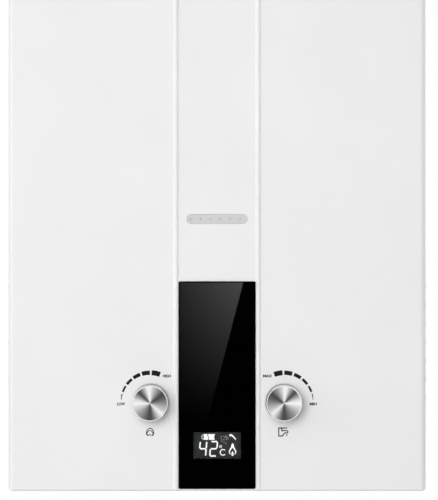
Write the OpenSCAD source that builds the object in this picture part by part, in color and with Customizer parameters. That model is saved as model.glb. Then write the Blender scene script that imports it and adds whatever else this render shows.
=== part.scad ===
// Wall-hung tankless gas water heater with a painted steel case, two control knobs,
// a glass display strip and a top flue. Lengths are in millimetres, +Z is up, the front
// faces -Y, and the origin is the middle of the four wall bolts on the wall face.
// Inside the modules Z counts from the bottom edge of the case.

/* [Case] */
// Width across the painted cover
case_w = 330; // [322:1:360]
// Height of the painted cover
case_h = 530; // [515:1:600]
// Depth from the wall to the front face
case_d = 165; // [163:1:190]
// Thickness of the cover's sheet steel
sheet = 1.2; // [0.8:0.1:1.6]
// Radius of the cover's upright front edges
edge_r = 4; // [3:0.5:8]
// Radius of the cover's top and bottom front edges
rim_r = 1.5; // [1.4:0.1:1.7]
// Radius of the cover's corners seen from the front
corner_r = 3; // [2:0.5:5]
// Depth of the fold along the cover's bottom front edge
fold_d = 15; // [10:1:18]
// Thickness of the plated sheets behind the cover
frame_t = 1.5; // [1:0.1:2]
// Height of the bottom plate above the cover's bottom edge
skirt_h = 25; // [22:1:26]
// Height of the folded rims of the top and bottom plates
tray_h = 15; // [10:1:16]
// Height of the wall ear above the case
ear_h = 20; // [18:1:30]
// Diameter of the four wall bolt holes
bolt_d = 7; // [6:0.5:9]
// Sideways distance between the wall bolts
bolt_span = 200; // [180:1:210]

/* [Front face] */
// Distance between the centre lines of the two pressed beads
strip_w = 65; // [62:0.2:70]
// Width of a pressed bead
bead_w = 4; // [3.6:0.2:5]
// Height of a pressed bead above the face
bead_h = 1; // [0.7:0.1:1.1]
// Height of the glass strip
glass_h = 164; // [150:1:180]
// Thickness of the glass strip
glass_t = 3; // [2.6:0.1:3.5]
// How far the glass stands in front of the face
glass_proud = 1; // [0.6:0.1:1.2]
// Gap between the glass and the bottom edge of the case
glass_foot = 1.7; // [1.6:0.1:3]
// Width of the display behind the glass
display_w = 38; // [34:1:44]
// Height of the display behind the glass
display_h = 21.4; // [18:0.2:24]
// Height of the display's centre above the bottom edge
display_z = 36; // [33:0.5:42]
// Width of the flame window
window_w = 47.6; // [44:0.2:54]
// Height of the flame window
window_h = 7; // [6:0.5:10]
// Height of the flame window's centre above the bottom edge
window_z = 215; // [214:1:218]
// Distance between the sight dimples of the flame window
sight_pitch = 7.8; // [6.5:0.1:8]

/* [Knobs] */
// Sideways distance from the centre line to a knob's axis
knob_x = 52.4; // [52.2:0.1:58]
// Height of the knobs' axes above the bottom edge
knob_z = 70.5; // [67:0.5:72]
// Diameter of a knob
knob_d = 29; // [26:0.5:34]
// Height of a knob from its base to its rim
knob_h = 21; // [19:0.5:26]
// Diameter of a control spindle
spindle_d = 8; // [7:0.5:8.5]

/* [Side louvres] */
// Length of a louvre
louvre_l = 70; // [50:1:90]
// Height of a louvre
louvre_h = 9; // [7:0.5:10]
// How far a louvre stands out of the side
louvre_out = 4; // [3:0.5:5]
// Distance between louvres
louvre_pitch = 15; // [14:0.5:18]
// Louvres in each lower group
louvres_low = 7; // [4:1:8]
// Louvres in each upper group
louvres_high = 4; // [3:1:5]

/* [Connections] */
// Outside diameter of the G1/2 threads
thread_d = 20.9; // [20:0.1:21.5]
// Bore of the three pipe stubs
stub_bore = 15; // [12:0.5:16]
// How far the stubs reach below the bottom edge
stub_drop = 5; // [2:0.5:10]
// Width across the flats of the lock nuts
nut_af = 30; // [27:1:32]
// Thickness of a lock nut
nut_t = 8; // [6:0.5:8.5]

/* [Burner and heat exchanger] */
// Room at each side of the combustion chamber for the water pipes
chamber_side = 52; // [50:1:54]
// Room in front of the combustion chamber for the gas manifold
chamber_front = 37; // [36:1:40]
// Room behind the combustion chamber
chamber_back = 24; // [23:1:26]
// Height of the combustion chamber's shell
chamber_h = 127; // [115:1:135]
// Wall of the combustion chamber, burner frame and hood
chamber_t = 1.2; // [1:0.1:1.6]
// Number of burner bars
bar_count = 11; // [7:2:11]
// Thickness of a burner bar
bar_t = 9; // [7:0.5:10]
// Number of heat exchanger fins
fin_count = 25; // [15:2:31]
// Height of the fins
fin_h = 60; // [50:1:70]
// Outside diameter of the water tubes
tube_d = 12; // [10:0.5:12.5]
// Wall of the water tubes
tube_t = 0.8; // [0.6:0.1:1.2]
// Largest bend radius of the water tubes
bend_r = 10; // [9:0.5:10]
// Passes of the tube through the fins
pass_count = 5; // [3:2:5]
// Outside diameter of the flue collar
flue_d = 109; // [99:1:112]
// Height of the flue collar above the case
flue_h = 45; // [30:1:70]

/* [Batteries] */
// Diameter of a battery cell
cell_d = 34.2; // [32:0.1:35]
// Length of a battery cell
cell_l = 61.5; // [58:0.1:62]

/* [Clearances] */
// Gap between pieces that lie beside each other
gap = 0.3; // [0.2:0.05:0.4]
// Radial gap of a shaft that turns or slides in its bore
run_gap = 0.05; // [0.03:0.01:0.08]

/* [Hidden] */
$fn = 64;
eps = 0.1;

// Planes of the case
front_y = -case_d;
inner_y = front_y + sheet;
inner_x = case_w / 2 - sheet;
frame_gap = gap + (corner_r - sheet) * (1 - sqrt(0.5));
frame_x = inner_x - frame_gap;
side_lip = 8;
top_fold_d = 22;
cover_back_y = -gap;
plate_low_z = sheet + frame_gap;
plate_high_z = case_h - sheet - frame_gap;
floor_z = skirt_h + frame_t;
floor_front_y = front_y + 23;
roof_front_y = front_y + edge_r;
ear_side = 20;
flange_d = 20;
flange_end = 5;
cut = 1;
low_bolt_z = skirt_h / 2;
high_bolt_z = case_h + ear_h / 2;
mount_z = (low_bolt_z + high_bolt_z) / 2;

// Pressed ribs that stiffen the back plate
rib_count = 3;
rib_l = 220;
rib_w = 14;
rib_d = 2.5;
rib_pitch = (plate_high_z - plate_low_z) / (rib_count + 1);
rib_zs = [for (i = [1 : rib_count]) plate_low_z + i * rib_pitch];

// Air slots of the top and bottom plates
vent_w = 5;
roof_vents = 6;
roof_vent_x = 118;
roof_vent_pitch = 16;
roof_vent_l = 50;
floor_vents = 8;
floor_vent_pitch = 12;
floor_vent_l = 36;

// Glass pocket and display opening
glass_w = strip_w - bead_w - 0.2;
glass_gap = 0.15;
glass_back_y = front_y - glass_proud + glass_t;
glass_z = glass_foot + glass_h / 2;
glass_corner_r = 1;
pocket_back_y = glass_back_y + sheet;
display_rim = 3;
display_body_w = display_w + 2 * display_rim;
display_body_h = display_h + 2 * display_rim;
display_flange = 5;
display_back = 8;

// Flame window
window_flange = 3;
window_t = 1;
sight_d = 1.6;
sight_deep = 1;
window_set = 0.4;
sight_count = 6;
sight_shift = -1.3;

// Cover screws and frame screws
screw_d = 4;
screw_head_d = 8;
screw_head_t = 2.6;
screw_reach = 8;
cover_screw_y = -60;
roof_screw_x = 120;
floor_screw_x = 70;
cover_screw_zs = [floor_z + tray_h / 2, plate_high_z - tray_h / 2];

// Valves: the linkage axis runs along X at valve_y and knob_z
gas_x = -knob_x;
water_x = knob_x;
valve_y = 0.5 - case_d / 2;
barrel_r = 22;
gland_room = 19;
valve_front = front_y + gland_room - valve_y;
plug_r = 8;
plug_back = -22;
water_port = 12;
gland_t = 4;
gland_w = 38;
gland_screw_x = 13;
gas_left = -30;
seat_x = 2;
seat_t = 8;
seat_r = 7;
gland_wall_x = 21;
gas_right = 27;
gas_chamber_r = 15;
feed_r = 12;
poppet_r = 11;
poppet_t = 4;
poppet_gap = 0.1;
boss_r = 13.5;
boss_drop = 29;
riser_r = 8;
rod_r = 3;
diaphragm_x = -30;
diaphragm_t = 1.6;
diaphragm_r = 33;
flange_r = 34;
cavity_r = 26;
flange_t = 10;
cap_t = 12.4;
neck_r = 9;
neck_l = 9;
push_r = 20;
push_t = 2.5;
flange_screw_r = 30;
flange_screw_count = 6;
water_out_z = 10;
water_out_x = 27;
plug_barrel_r = 16;
outlet_boss_r = 9;
outlet_r = 5;
cross_r = 4.6;
coil_boss_r = 12;
coil_boss = 4;
coil_r = 14;
coil_l = 19;
water_barrel_r = 14;
water_plug_r = 17;
water_back = 20;
water_boss_r = 9;
water_cross_r = 4;
sense_r = 3.4;
feed_bore_r = 6.2;
valve_base_z = knob_z - boss_drop;

// Microswitch on the end of the gas valve
switch_l = 16.5;
switch_w = 16;
switch_h = 12;
switch_z = 4;
button_r = 1.5;
button_l = 3;
button_out = 1.5;
button_z = switch_z + 3;
button_reach = 2;
collar_r = 10;
collar_t = 2;
collar_x = gas_x + gas_right + switch_l + button_out + button_reach;

// Knobs and spindles
knob_gap = 1;
knob_wall = 1.6;
knob_rim = 1.3;
knob_draft = 0.35;
face_t = 0.7;
hub_r = 7;
hub_foot = 3;
spindle_flat = 0.75;
spindle_tip_y = front_y - knob_gap - knob_h + 6;
knob_hole_r = spindle_d / 2 + 3;

// Pipe stubs
stub_y = valve_y;
stub_end_z = -stub_drop;
neck_cut = 0.45;
nut_base_z = skirt_h - nut_t;
thread_top_z = nut_base_z - 0.5;
drain_off = 6;
drain_x = water_x + drain_off;
drain_y = valve_y - 28;
drain_r = 6;
drain_head_t = 6;

// Burner, stacked from the frame up
chamber_w = case_w - 2 * chamber_side;
chamber_d = case_d - chamber_front - chamber_back;
chamber_y = -chamber_back - chamber_d / 2;
chamber_front_y = chamber_y - chamber_d / 2;
chamber_back_y = chamber_y + chamber_d / 2;
frame_low_z = 150;
frame_high_z = 203;
bar_front_y = chamber_front_y + 8;
bar_back_y = chamber_back_y - 8;
bar_low_z = 120;
bar_high_z = frame_high_z - 3;
venturi_z = 128;
venturi_r = 3;
bar_wall = 1;
bar_slot = 2;
bar_side = 17;
bar_pitch = (chamber_w - bar_side) / bar_count;
bar_end = 6;
tie_r = 2.5;
tie_z = 165;
tie_inset = 15;
foot_w = 14;
foot_low_z = 160;
foot_high_z = 195;
manifold_s = 16;
manifold_y = chamber_front_y - manifold_s / 2;
outlet_y = manifold_y - valve_y;
manifold_z = venturi_z;
manifold_w = chamber_w;
manifold_ear = 8;
manifold_ear_t = 2;
manifold_ear_lap = 15;
jet_r = 3.2;
jet_l = bar_front_y - (manifold_y + manifold_s / 2) - 1;
electrode_x = 40;
electrode_z = frame_high_z + 6;
electrode_r = 3;
electrode_back = 20;
electrode_in = 8;
electrode_tip = 18;
electrode_wire_r = 0.9;

// Heat exchanger, stacked on the chamber
chamber_low_z = frame_high_z;
chamber_high_z = chamber_low_z + chamber_h;
fin_t = 0.8;
sleeve_t = 0.9;
pass_inset = 12;
pass_pitch = (chamber_d - 2 * pass_inset) / (pass_count - 1);
tube_bend = min(bend_r, pass_pitch / 2);
pass_z = chamber_high_z + fin_h / 2;
pass_mid_y = chamber_y - 2;
tube_end_x = chamber_w / 2 + 9;
turn_x = tube_end_x + 2;
first_pass_y = pass_mid_y + (pass_count - 1) / 2 * pass_pitch;
last_pass_y = pass_mid_y - (pass_count - 1) / 2 * pass_pitch;
coil_z = chamber_low_z + 59;
coil_off = ceil(10 * (tube_bend - (tube_bend - tube_d / 2 - gap) * sqrt(0.5))) / 10;
hot_x = -(chamber_w / 2 + 25);
riser_x = chamber_w / 2 + 30;
return_x = chamber_w / 2 + 21;
hot_jog_z = knob_z + 1;

// Overheat switch on the chamber and sensor on the hot pipe
cutout_drop = 20;
cutout_r = 8;
cutout_l = 6;
cutout_tip_r = 5;
cutout_tip_l = 3;
sensor_z = knob_z + 55;
sensor_wall = 2.5;
sensor_h = 10;
sensor_w = 8;
sensor_l = 16;

// Flue hood and collar
hood_low_z = chamber_high_z + fin_h;
collar_t_wall = 1.2;
neck_h = 30;
hood_neck_r = flue_d / 2 - collar_t_wall - gap;
hood_high_z = plate_high_z - neck_h;
collar_low_z = plate_high_z - 20;
collar_flange_r = flue_d / 2 + 8;
hood_slot_h = 14;
hood_slot_pitch = (chamber_w - 16) / 3;
hood_slot_w = hood_slot_pitch - 20;

// Ignition box on the back plate
ignition_w = 90;
ignition_d = 25;
ignition_h = 60;
ignition_z = 74;
ignition_ear = 12;
ignition_ear_t = 3;
ignition_ear_h = 16;

// Battery box, lid and hinge
cell_gap = 0.9;
contact_t = 4;
contact_w = 20;
contact_disc_r = 7;
contact_tip_r = 4;
box_wall = 1.6;
box_in_w = cell_d + 2 * cell_gap;
box_in_l = 2 * cell_l + 2 * contact_t;
box_in_h = cell_d + 2;
box_x = inner_x - 46.8;
box_back_gap = 3.15;
box_y = -frame_t - box_back_gap - box_wall - box_in_l / 2;
lid_t = 2.5;
lid_over = 2;
hinge_r = 1.5;
knuckle_r = 3.2;
hinge_x = box_x - box_in_w / 2 - box_wall - 6;
hinge_z = skirt_h - 4.5;
lug_t = 4;
lug_r = 4;
lug_notch = 8;
lug_y = 58;

// Screw points on the back plate: sideways place, height, and the seat of the head
frame_points = [
    for (s = [-1, 1]) each [
        [s * roof_screw_x, plate_high_z - tray_h / 2, -2 * frame_t],
        [s * floor_screw_x, floor_z + tray_h / 2, -2 * frame_t],
        [s * (chamber_w / 2 + foot_w / 2), (foot_low_z + foot_high_z) / 2, -frame_t - chamber_t],
        [s * (ignition_w / 2 + ignition_ear / 2), ignition_z, -frame_t - ignition_ear_t],
    ],
];

// Moves a module from case heights to the wall-bolt origin
module in_case() {
    translate([0, 0, -mount_z]) children();
}

// Cylinders along the three axes
module rod_x(r, x0, x1) {
    translate([x0, 0, 0]) rotate([0, 90, 0]) cylinder(r = r, h = x1 - x0);
}
module rod_y(r, y0, y1) {
    translate([0, y1, 0]) rotate([90, 0, 0]) cylinder(r = r, h = y1 - y0);
}
module rod_z(r, z0, z1) {
    translate([0, 0, z0]) cylinder(r = r, h = z1 - z0);
}

// Box from its low corner to its high corner
module span(low, high) {
    translate(low) cube(high - low);
}

// Flat outline with rounded corners, centred
module round_rect(w, h, r) {
    square([w, h - 2 * r], center = true);
    square([w - 2 * r, h], center = true);
    for (x = [-1, 1], y = [-1, 1]) translate([x * (w / 2 - r), y * (h / 2 - r)]) circle(r);
}

// Flat outline whose two front corners are rounded; it starts at y = 0 and runs back to y = d
module front_round(w, d, r) {
    translate([-w / 2, r]) square([w, d - r]);
    translate([r - w / 2, 0]) square([w - 2 * r, d]);
    for (s = [-1, 1]) translate([s * (w / 2 - r), r]) circle(r);
}

// Upright plate seen from the front: a flat outline pushed from y0 back to y1
module upright(y0, y1) {
    translate([0, y1, 0]) rotate([90, 0, 0]) linear_extrude(y1 - y0) children();
}

// Oblong outline with round ends
module oblong(w, h) {
    round_rect(w, h, h / 2 - 0.001);
}

// Block of the cover's outer or inner form, drawn in by t on every side
module cover_block(t, back_y) {
    w = case_w - 2 * t;
    h = case_h - 2 * t;
    d = back_y - front_y - t;
    intersection() {
        translate([0, front_y + t, t]) linear_extrude(h) front_round(w, d, edge_r - t);
        translate([-w / 2, front_y + t, case_h / 2]) rotate([90, 0, 90]) linear_extrude(w)
            rotate(-90) front_round(h, d, max(rim_r - t, 0.2));
        translate([0, 0, case_h / 2]) upright(front_y, back_y) round_rect(w, h, corner_r - t);
    }
}

// Route of a pipe: straight lengths with round bends at the inner points, all square to the axes
function unit(v) = v / norm(v);
module pipe_run(p, r, over = 0) {
    last = len(p) - 1;
    for (i = [0 : last - 1]) {
        d = unit(p[i + 1] - p[i]);
        from = i == 0 ? -over : tube_bend;
        to = norm(p[i + 1] - p[i]) + (i == last - 1 ? over : -tube_bend);
        if (to - from > 0.01) translate(p[i] + from * d) aim(d) cylinder(r = r, h = to - from);
    }
    for (i = [1 : 1 : last - 1]) {
        a = unit(p[i] - p[i - 1]);
        b = unit(p[i + 1] - p[i]);
        c = p[i] + tube_bend * (b - a);
        n = cross(a, b);
        multmatrix([[-b.x, a.x, n.x, c.x], [-b.y, a.y, n.y, c.y], [-b.z, a.z, n.z, c.z], [0, 0, 0, 1]])
            rotate_extrude(angle = 90) translate([tube_bend, 0]) circle(r);
    }
}

// Turns +Z to a direction along one of the axes
module aim(d) {
    rotate([0, acos(d.z), atan2(d.y, d.x)]) children();
}

// Hollow water pipe along a route
module water_pipe(p) {
    difference() {
        pipe_run(p, tube_d / 2);
        pipe_run(p, tube_d / 2 - tube_t, over = eps);
    }
}

// Round tube swept along any route as one solid of rings
function cross_unit(a, b) = unit(cross(a, b));
function tangent(p, i) = unit(p[min(i + 1, len(p) - 1)] - p[max(i - 1, 0)]);
function side_of(t) = cross_unit(t, abs(t.z) < 0.8 ? [0, 0, 1] : [1, 0, 0]);
function sides_along(p) = [
    for (i = 0, n = side_of(tangent(p, 0)); i < len(p);
         i = i + 1, n = i < len(p) ? cross_unit(cross(tangent(p, i), n), tangent(p, i)) : n) n
];
module swept_tube(p, r, sides) {
    n = sides_along(p);
    rings = [
        for (i = [0 : len(p) - 1], k = [0 : sides - 1])
            p[i] + r * (cos(360 * k / sides) * n[i] + sin(360 * k / sides) * cross(tangent(p, i), n[i]))
    ];
    skin = [
        for (i = [0 : len(p) - 2], k = [0 : sides - 1])
            let (a = i * sides + k, b = i * sides + (k + 1) % sides)
            each [[a, a + sides, b], [b, a + sides, b + sides]]
    ];
    end = (len(p) - 1) * sides;
    caps = [for (k = [1 : sides - 2]) each [[0, k, k + 1], [end, end + k + 1, end + k]]];
    polyhedron(rings, concat(skin, caps));
}

// Smooth curve through hand-set points, k steps to each stretch
function through(a, b, c, d, t) =
    0.5 * (2 * b + (c - a) * t + (2 * a - 5 * b + 4 * c - d) * t ^ 2 + (3 * b - a - 3 * c + d) * t ^ 3);
function smooth(p, k) = [
    for (i = [0 : len(p) - 2], j = [0 : k - 1])
        through(p[max(i - 1, 0)], p[i], p[i + 1], p[min(i + 2, len(p) - 1)], j / k),
    p[len(p) - 1]
];

// Case

module bead(x) {
    r = (bead_w ^ 2 / 4 + bead_h ^ 2) / (2 * bead_h);
    translate([x, front_y - bead_h + r, 0]) difference() {
        intersection() {
            rod_z(r, rim_r, case_h - rim_r);
            span([-bead_w, -2 * r, 0], [bead_w, bead_h - r + sheet, case_h]);
        }
        if (r - sheet > 0.3) rod_z(r - sheet, rim_r + sheet, case_h - rim_r - sheet);
    }
}

// Side louvre on the right of the case: a pressed hood that is open below
louvre_low_z = 70;
louvre_drop = 45;
louvre_r = (louvre_h ^ 2 + louvre_out ^ 2) / (2 * louvre_out);
module louvre_form(r, l, inset) {
    translate([case_w / 2 + louvre_out - louvre_r, -case_d / 2 - l / 2, 0]) intersection() {
        rod_y(r, 0, l);
        span([louvre_r - louvre_out - inset, 0, 0], [louvre_r, l, louvre_h]);
    }
}
louvre_zs = [
    for (i = [0 : louvres_low - 1]) louvre_low_z + i * louvre_pitch,
    for (i = [0 : louvres_high - 1]) case_h - louvre_drop - i * louvre_pitch,
];
module on_both_sides() {
    for (s = [0, 1]) mirror([s, 0, 0]) children();
}

module front_cover() color("white") difference() {
    union() {
        difference() {
            cover_block(0, cover_back_y);
            cover_block(sheet, 5);
            span([-inner_x + side_lip, front_y + fold_d, -eps], [inner_x - side_lip, 5, 2 * sheet]);
            span([-inner_x + side_lip, front_y + top_fold_d, case_h - 2 * sheet],
                 [inner_x - side_lip, 5, case_h + eps]);
        }
        for (s = [-1, 1]) bead(s * strip_w / 2);
        translate([0, 0, glass_z]) upright(inner_y - sheet / 2, pocket_back_y)
            square([glass_w + 2 * sheet, glass_h + 2 * glass_foot - 2 * sheet], center = true);
        on_both_sides() for (z = louvre_zs) translate([0, 0, z]) louvre_form(louvre_r, louvre_l, sheet / 2);
    }
    translate([0, 0, glass_z]) upright(front_y - 2, glass_back_y)
        round_rect(glass_w + 2 * glass_gap, glass_h + 2 * glass_gap, glass_corner_r + glass_gap);
    translate([0, 0, display_z]) upright(front_y, pocket_back_y + 1)
        square([display_body_w + 2 * gap, display_body_h + 2 * gap], center = true);
    translate([0, 0, window_z]) upright(front_y - cut, inner_y + cut)
        oblong(window_w + 2 * gap, window_h + 2 * gap);
    for (x = [gas_x, water_x]) translate([x, 0, knob_z]) rod_y(knob_hole_r, front_y - 2, inner_y + 1);
    on_both_sides() {
        for (z = louvre_zs) translate([0, 0, z])
            louvre_form(louvre_r - sheet, louvre_l - 2 * sheet, sheet + cut);
        for (z = cover_screw_zs) translate([0, cover_screw_y, z])
            rod_x(screw_d / 2 + gap, inner_x - 1, case_w / 2 + 1);
    }
}

module back_plate() color("lightgray") difference() {
    union() {
        span([-frame_x, -frame_t, plate_low_z], [frame_x, 0, plate_high_z]);
        span([-bolt_span / 2 - ear_side, -frame_t, plate_high_z - cut],
             [bolt_span / 2 + ear_side, 0, case_h + ear_h]);
        on_both_sides() span([frame_x - frame_t, -flange_d, skirt_h + tray_h + flange_end],
                             [frame_x, 0, plate_high_z - tray_h - flange_end]);
        for (z = rib_zs) translate([0, 0, z])
            upright(-frame_t - rib_d, -frame_t / 2) oblong(rib_l, rib_w);
    }
    for (z = rib_zs) translate([0, 0, z])
        upright(-rib_d, cut) oblong(rib_l - 2 * frame_t, rib_w - 2 * frame_t);
    for (x = [-1, 1], z = [low_bolt_z, high_bolt_z]) translate([x * bolt_span / 2, 0, z])
        rod_y(bolt_d / 2, -frame_t - 1, 1);
    for (p = frame_points) translate([p.x, 0, p.y]) rod_y(screw_d / 2 + run_gap, -frame_t - 1, 1);
}

// Shallow tray with folded rims, open towards +Z, standing on z = 0
module tray(front, t) {
    difference() {
        span([-frame_x, front, 0], [frame_x, -frame_t, tray_h]);
        span([-frame_x + t, front + t, t], [frame_x - t, -frame_t - t, tray_h + 1]);
    }
}

module top_plate() color("lightgray") difference() {
    translate([0, 0, plate_high_z]) mirror([0, 0, 1]) tray(roof_front_y, frame_t);
    translate([0, chamber_y, 0]) rod_z(flue_d / 2 + gap, plate_high_z - 5, case_h);
    for (s = [-1, 1], i = [0 : roof_vents - 1])
        translate([s * roof_vent_x, chamber_y + (i - (roof_vents - 1) / 2) * roof_vent_pitch,
                   plate_high_z - tray_h / 2])
            linear_extrude(tray_h) oblong(roof_vent_l, vent_w);
    for (p = frame_points) translate([p.x, 0, p.y]) rod_y(screw_d / 2 + run_gap, -6, 1);
    on_both_sides() translate([0, cover_screw_y, cover_screw_zs[1]])
        rod_x(screw_d / 2 + run_gap, frame_x - 4, frame_x + 1);
}

module bottom_plate() color("lightgray") difference() {
    union() {
        translate([0, 0, skirt_h]) tray(floor_front_y, frame_t);
        for (s = [-1, 1]) translate([hinge_x, box_y + s * lug_y, 0])
            span([-lug_r, -lug_t / 2, hinge_z - lug_r],
                 [knuckle_r - 2 * gap, lug_t / 2, skirt_h + frame_t / 2]);
    }
    for (x = [gas_x, water_x, hot_x]) translate([x, stub_y, 0])
        rod_z(thread_d / 2 - neck_cut + gap, skirt_h - 1, floor_z + 1);
    translate([drain_x, drain_y, 0]) rod_z(drain_r + 2 * gap, skirt_h - 1, floor_z + 1);
    span([box_x - box_in_w / 2, box_y - box_in_l / 2, skirt_h - 1],
         [box_x + box_in_w / 2, box_y + box_in_l / 2, floor_z + 1]);
    translate([hinge_x, box_y, hinge_z]) rod_y(hinge_r + run_gap / 2, -lug_y - lug_t, lug_y + lug_t);
    for (x = [0, (gas_x + hot_x) / 2], i = [0 : floor_vents - 1])
        translate([x, stub_y + (i - (floor_vents - 1) / 2) * floor_vent_pitch, skirt_h - cut])
            linear_extrude(frame_t + 2 * cut) oblong(floor_vent_l, vent_w);
    for (p = frame_points) translate([p.x, 0, p.y]) rod_y(screw_d / 2 + run_gap, -6, 1);
    on_both_sides() translate([0, cover_screw_y, cover_screw_zs[0]])
        rod_x(screw_d / 2 + run_gap, frame_x - 4, frame_x + 1);
}

module glass_panel() color("black") translate([0, 0, glass_z])
    upright(front_y - glass_proud, glass_back_y) round_rect(glass_w, glass_h, glass_corner_r);

module display_module() color("dimgray") translate([0, 0, display_z]) {
    upright(glass_back_y + gap, pocket_back_y + display_back)
        square([display_body_w, display_body_h], center = true);
    upright(pocket_back_y, pocket_back_y + 2)
        square([display_body_w + 2 * display_flange, display_body_h + 2 * display_flange], center = true);
}

module flame_window() color("silver") translate([0, 0, window_z]) difference() {
    union() {
        upright(front_y + window_set, inner_y + window_t / 2)
            round_rect(window_w, window_h, window_h / 2 - 0.1);
        upright(inner_y, inner_y + window_t)
            round_rect(window_w + 2 * window_flange, window_h + 2 * window_flange, window_h / 2);
    }
    for (i = [0 : sight_count - 1])
        translate([sight_shift + (i - (sight_count - 1) / 2) * sight_pitch, 0, 0])
            rod_y(sight_d / 2, front_y - 1, front_y + window_set + sight_deep);
}

// Pan-head screw: head outwards along +Z from the seat at z = 0, shank inwards
module screw(reach) {
    difference() {
        cylinder(d = screw_head_d, h = screw_head_t);
        for (a = [0, 90]) rotate(a) translate([-2.5, -0.5, screw_head_t - 1.2]) cube([5, 1, 2]);
    }
    translate([0, 0, -reach]) cylinder(d = screw_d, h = reach + eps);
}

module cover_screws() color("silver") on_both_sides() for (z = cover_screw_zs)
    translate([case_w / 2, cover_screw_y, z]) rotate([0, 90, 0]) screw(screw_reach);

module frame_screws() color("silver") for (p = frame_points)
    translate([p.x, p.z, p.y]) rotate([90, 0, 0]) screw(-p.z - gap);

// Knobs and spindles

// D-shaped shaft outline
module d_shaft(r) {
    intersection() {
        circle(r);
        translate([-2 * r, -2 * r]) square([4 * r, 3 * r - spindle_flat]);
    }
}

// Knob shell on its own axis, base at z = 0, face up
module knob_body() {
    r = knob_d / 2;
    difference() {
        rotate_extrude() polygon([
            [0, 0], [r, 0], [r - knob_draft, knob_h - knob_rim], [r - 2 * knob_draft, knob_h - knob_draft],
            [r - knob_rim, knob_h], [0, knob_h]
        ]);
        difference() {
            translate([0, 0, -eps]) cylinder(r = r - knob_wall, h = knob_h - face_t - 2.5);
            translate([0, 0, hub_foot]) cylinder(r = hub_r, h = knob_h);
        }
        translate([0, 0, knob_h - face_t]) cylinder(r = r - knob_rim, h = 2);
        translate([0, 0, -eps]) linear_extrude(knob_h - 5) d_shaft(spindle_d / 2 + run_gap);
    }
}

// Spun metal disc in the knob's face, slightly dished
module knob_disc() {
    r = knob_d / 2 - knob_rim - run_gap;
    translate([0, 0, knob_h - face_t]) rotate_extrude()
        polygon([[0, 0], [r, 0], [r, face_t - 0.1], [0, face_t - 0.4]]);
}

// Puts a knob piece on the front at sideways place x
module on_front(x) {
    translate([x, front_y - knob_gap, knob_z]) rotate([90, 0, 0]) children();
}

module gas_knob() color("silver") on_front(gas_x) knob_body();
module water_knob() color("silver") on_front(water_x) knob_body();
module gas_knob_face() color("gainsboro") on_front(gas_x) knob_disc();
module water_knob_face() color("gainsboro") on_front(water_x) knob_disc();

// Ported plug and spindle, turning about Y in the valve's front bore
module spindle_plug(port_y) {
    plug_front = valve_front + gap;
    difference() {
        rod_y(plug_r - run_gap, plug_front, plug_back - gap);
        rod_y(plug_r / 2, port_y - 2, plug_back + 1);
        translate([0, port_y, 0]) rod_z(plug_r / 2, 0, plug_r + 1);
    }
    translate([0, plug_front + eps, 0]) rotate([90, 0, 0])
        linear_extrude(valve_y + plug_front + eps - spindle_tip_y) d_shaft(spindle_d / 2);
}

module gas_spindle() color("goldenrod") translate([gas_x, valve_y, knob_z]) spindle_plug(outlet_y);
module water_spindle() color("goldenrod") translate([water_x, valve_y, knob_z])
    spindle_plug(plug_back - water_port);

// Water and gas linkage valve

// Front face of a valve with two screw holes for its gland plate
module valve_face() {
    span([-gland_w / 2, valve_front, -12], [gland_w / 2, valve_front + 8, 12]);
}
module gland_screw_holes(r, y0, y1) {
    for (s = [-1, 1]) translate([s * gland_screw_x, 0, 0]) rod_y(r, y0, y1);
}

module gas_valve_body() color("darkgray") translate([gas_x, valve_y, knob_z]) difference() {
    union() {
        rod_x(barrel_r, gas_left, gas_right);
        rod_y(plug_barrel_r, valve_front, 0);
        rod_y(coil_boss_r, 0, barrel_r + coil_boss);
        rod_z(boss_r, -boss_drop, 0);
        translate([0, outlet_y, 0]) rod_z(outlet_boss_r, 0, boss_drop);
        valve_face();
    }
    rod_x(rod_r + run_gap, gland_wall_x - 1, gas_right + 1);
    rod_x(feed_r, seat_x + seat_t, gland_wall_x);
    rod_x(seat_r, seat_x - 1, seat_x + seat_t + 1);
    rod_x(gas_chamber_r, gas_left - 1, seat_x);
    rod_z(stub_bore / 2, -boss_drop - 1, -barrel_r / 2);
    rod_y(plug_r, valve_front - 1, plug_back);
    translate([seat_x + seat_t + 1, 0, 0]) rod_y(cross_r, plug_back - 2 * cross_r, -cross_r);
    translate([0, outlet_y, 0]) rod_z(outlet_r, 0, boss_drop + cut);
    gland_screw_holes(1.6, valve_front - 1, valve_front + 6);
}

module gas_valve_cap() color("darkgray") translate([gas_x, valve_y, knob_z]) {
    rod_x(barrel_r, gas_left - 5, gas_left);
    rod_x(gas_chamber_r - gap, gas_left - eps, gas_left + 4);
    rod_x(3.5, gas_left, gas_left + 10);
}

// Coil spring that shuts the gas poppet
spring_turns = 6;
spring_r = 7;
spring_wire = 1.4;
spring_low = gas_left + 4 + gap + spring_wire / 2;
spring_high = seat_x - poppet_gap - poppet_t - gap - spring_wire / 2;
spring_points = [
    for (k = [0 : spring_turns * 12])
        [spring_low + (spring_high - spring_low) * k / (spring_turns * 12),
         spring_r * cos(30 * k), spring_r * sin(30 * k)]
];
echo(spring_gap = norm(spring_points[12] - spring_points[0]) - spring_wire);
module return_spring() color("silver") translate([gas_x, valve_y, knob_z])
    swept_tube(spring_points, spring_wire / 2, 6);

// Push rod from the diaphragm to the gas poppet, with the collar that trips the switch
module link_rod() color("silver") translate([0, valve_y, knob_z]) {
    push_x = water_x + diaphragm_x - diaphragm_t - gap;
    rod_x(push_r, push_x - push_t, push_x);
    rod_x(rod_r, gas_x + seat_x - poppet_gap - poppet_t, push_x);
    rod_x(collar_r, collar_x, collar_x + collar_t);
    rod_x(poppet_r, gas_x + seat_x - poppet_gap - poppet_t, gas_x + seat_x - poppet_gap);
}

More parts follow.
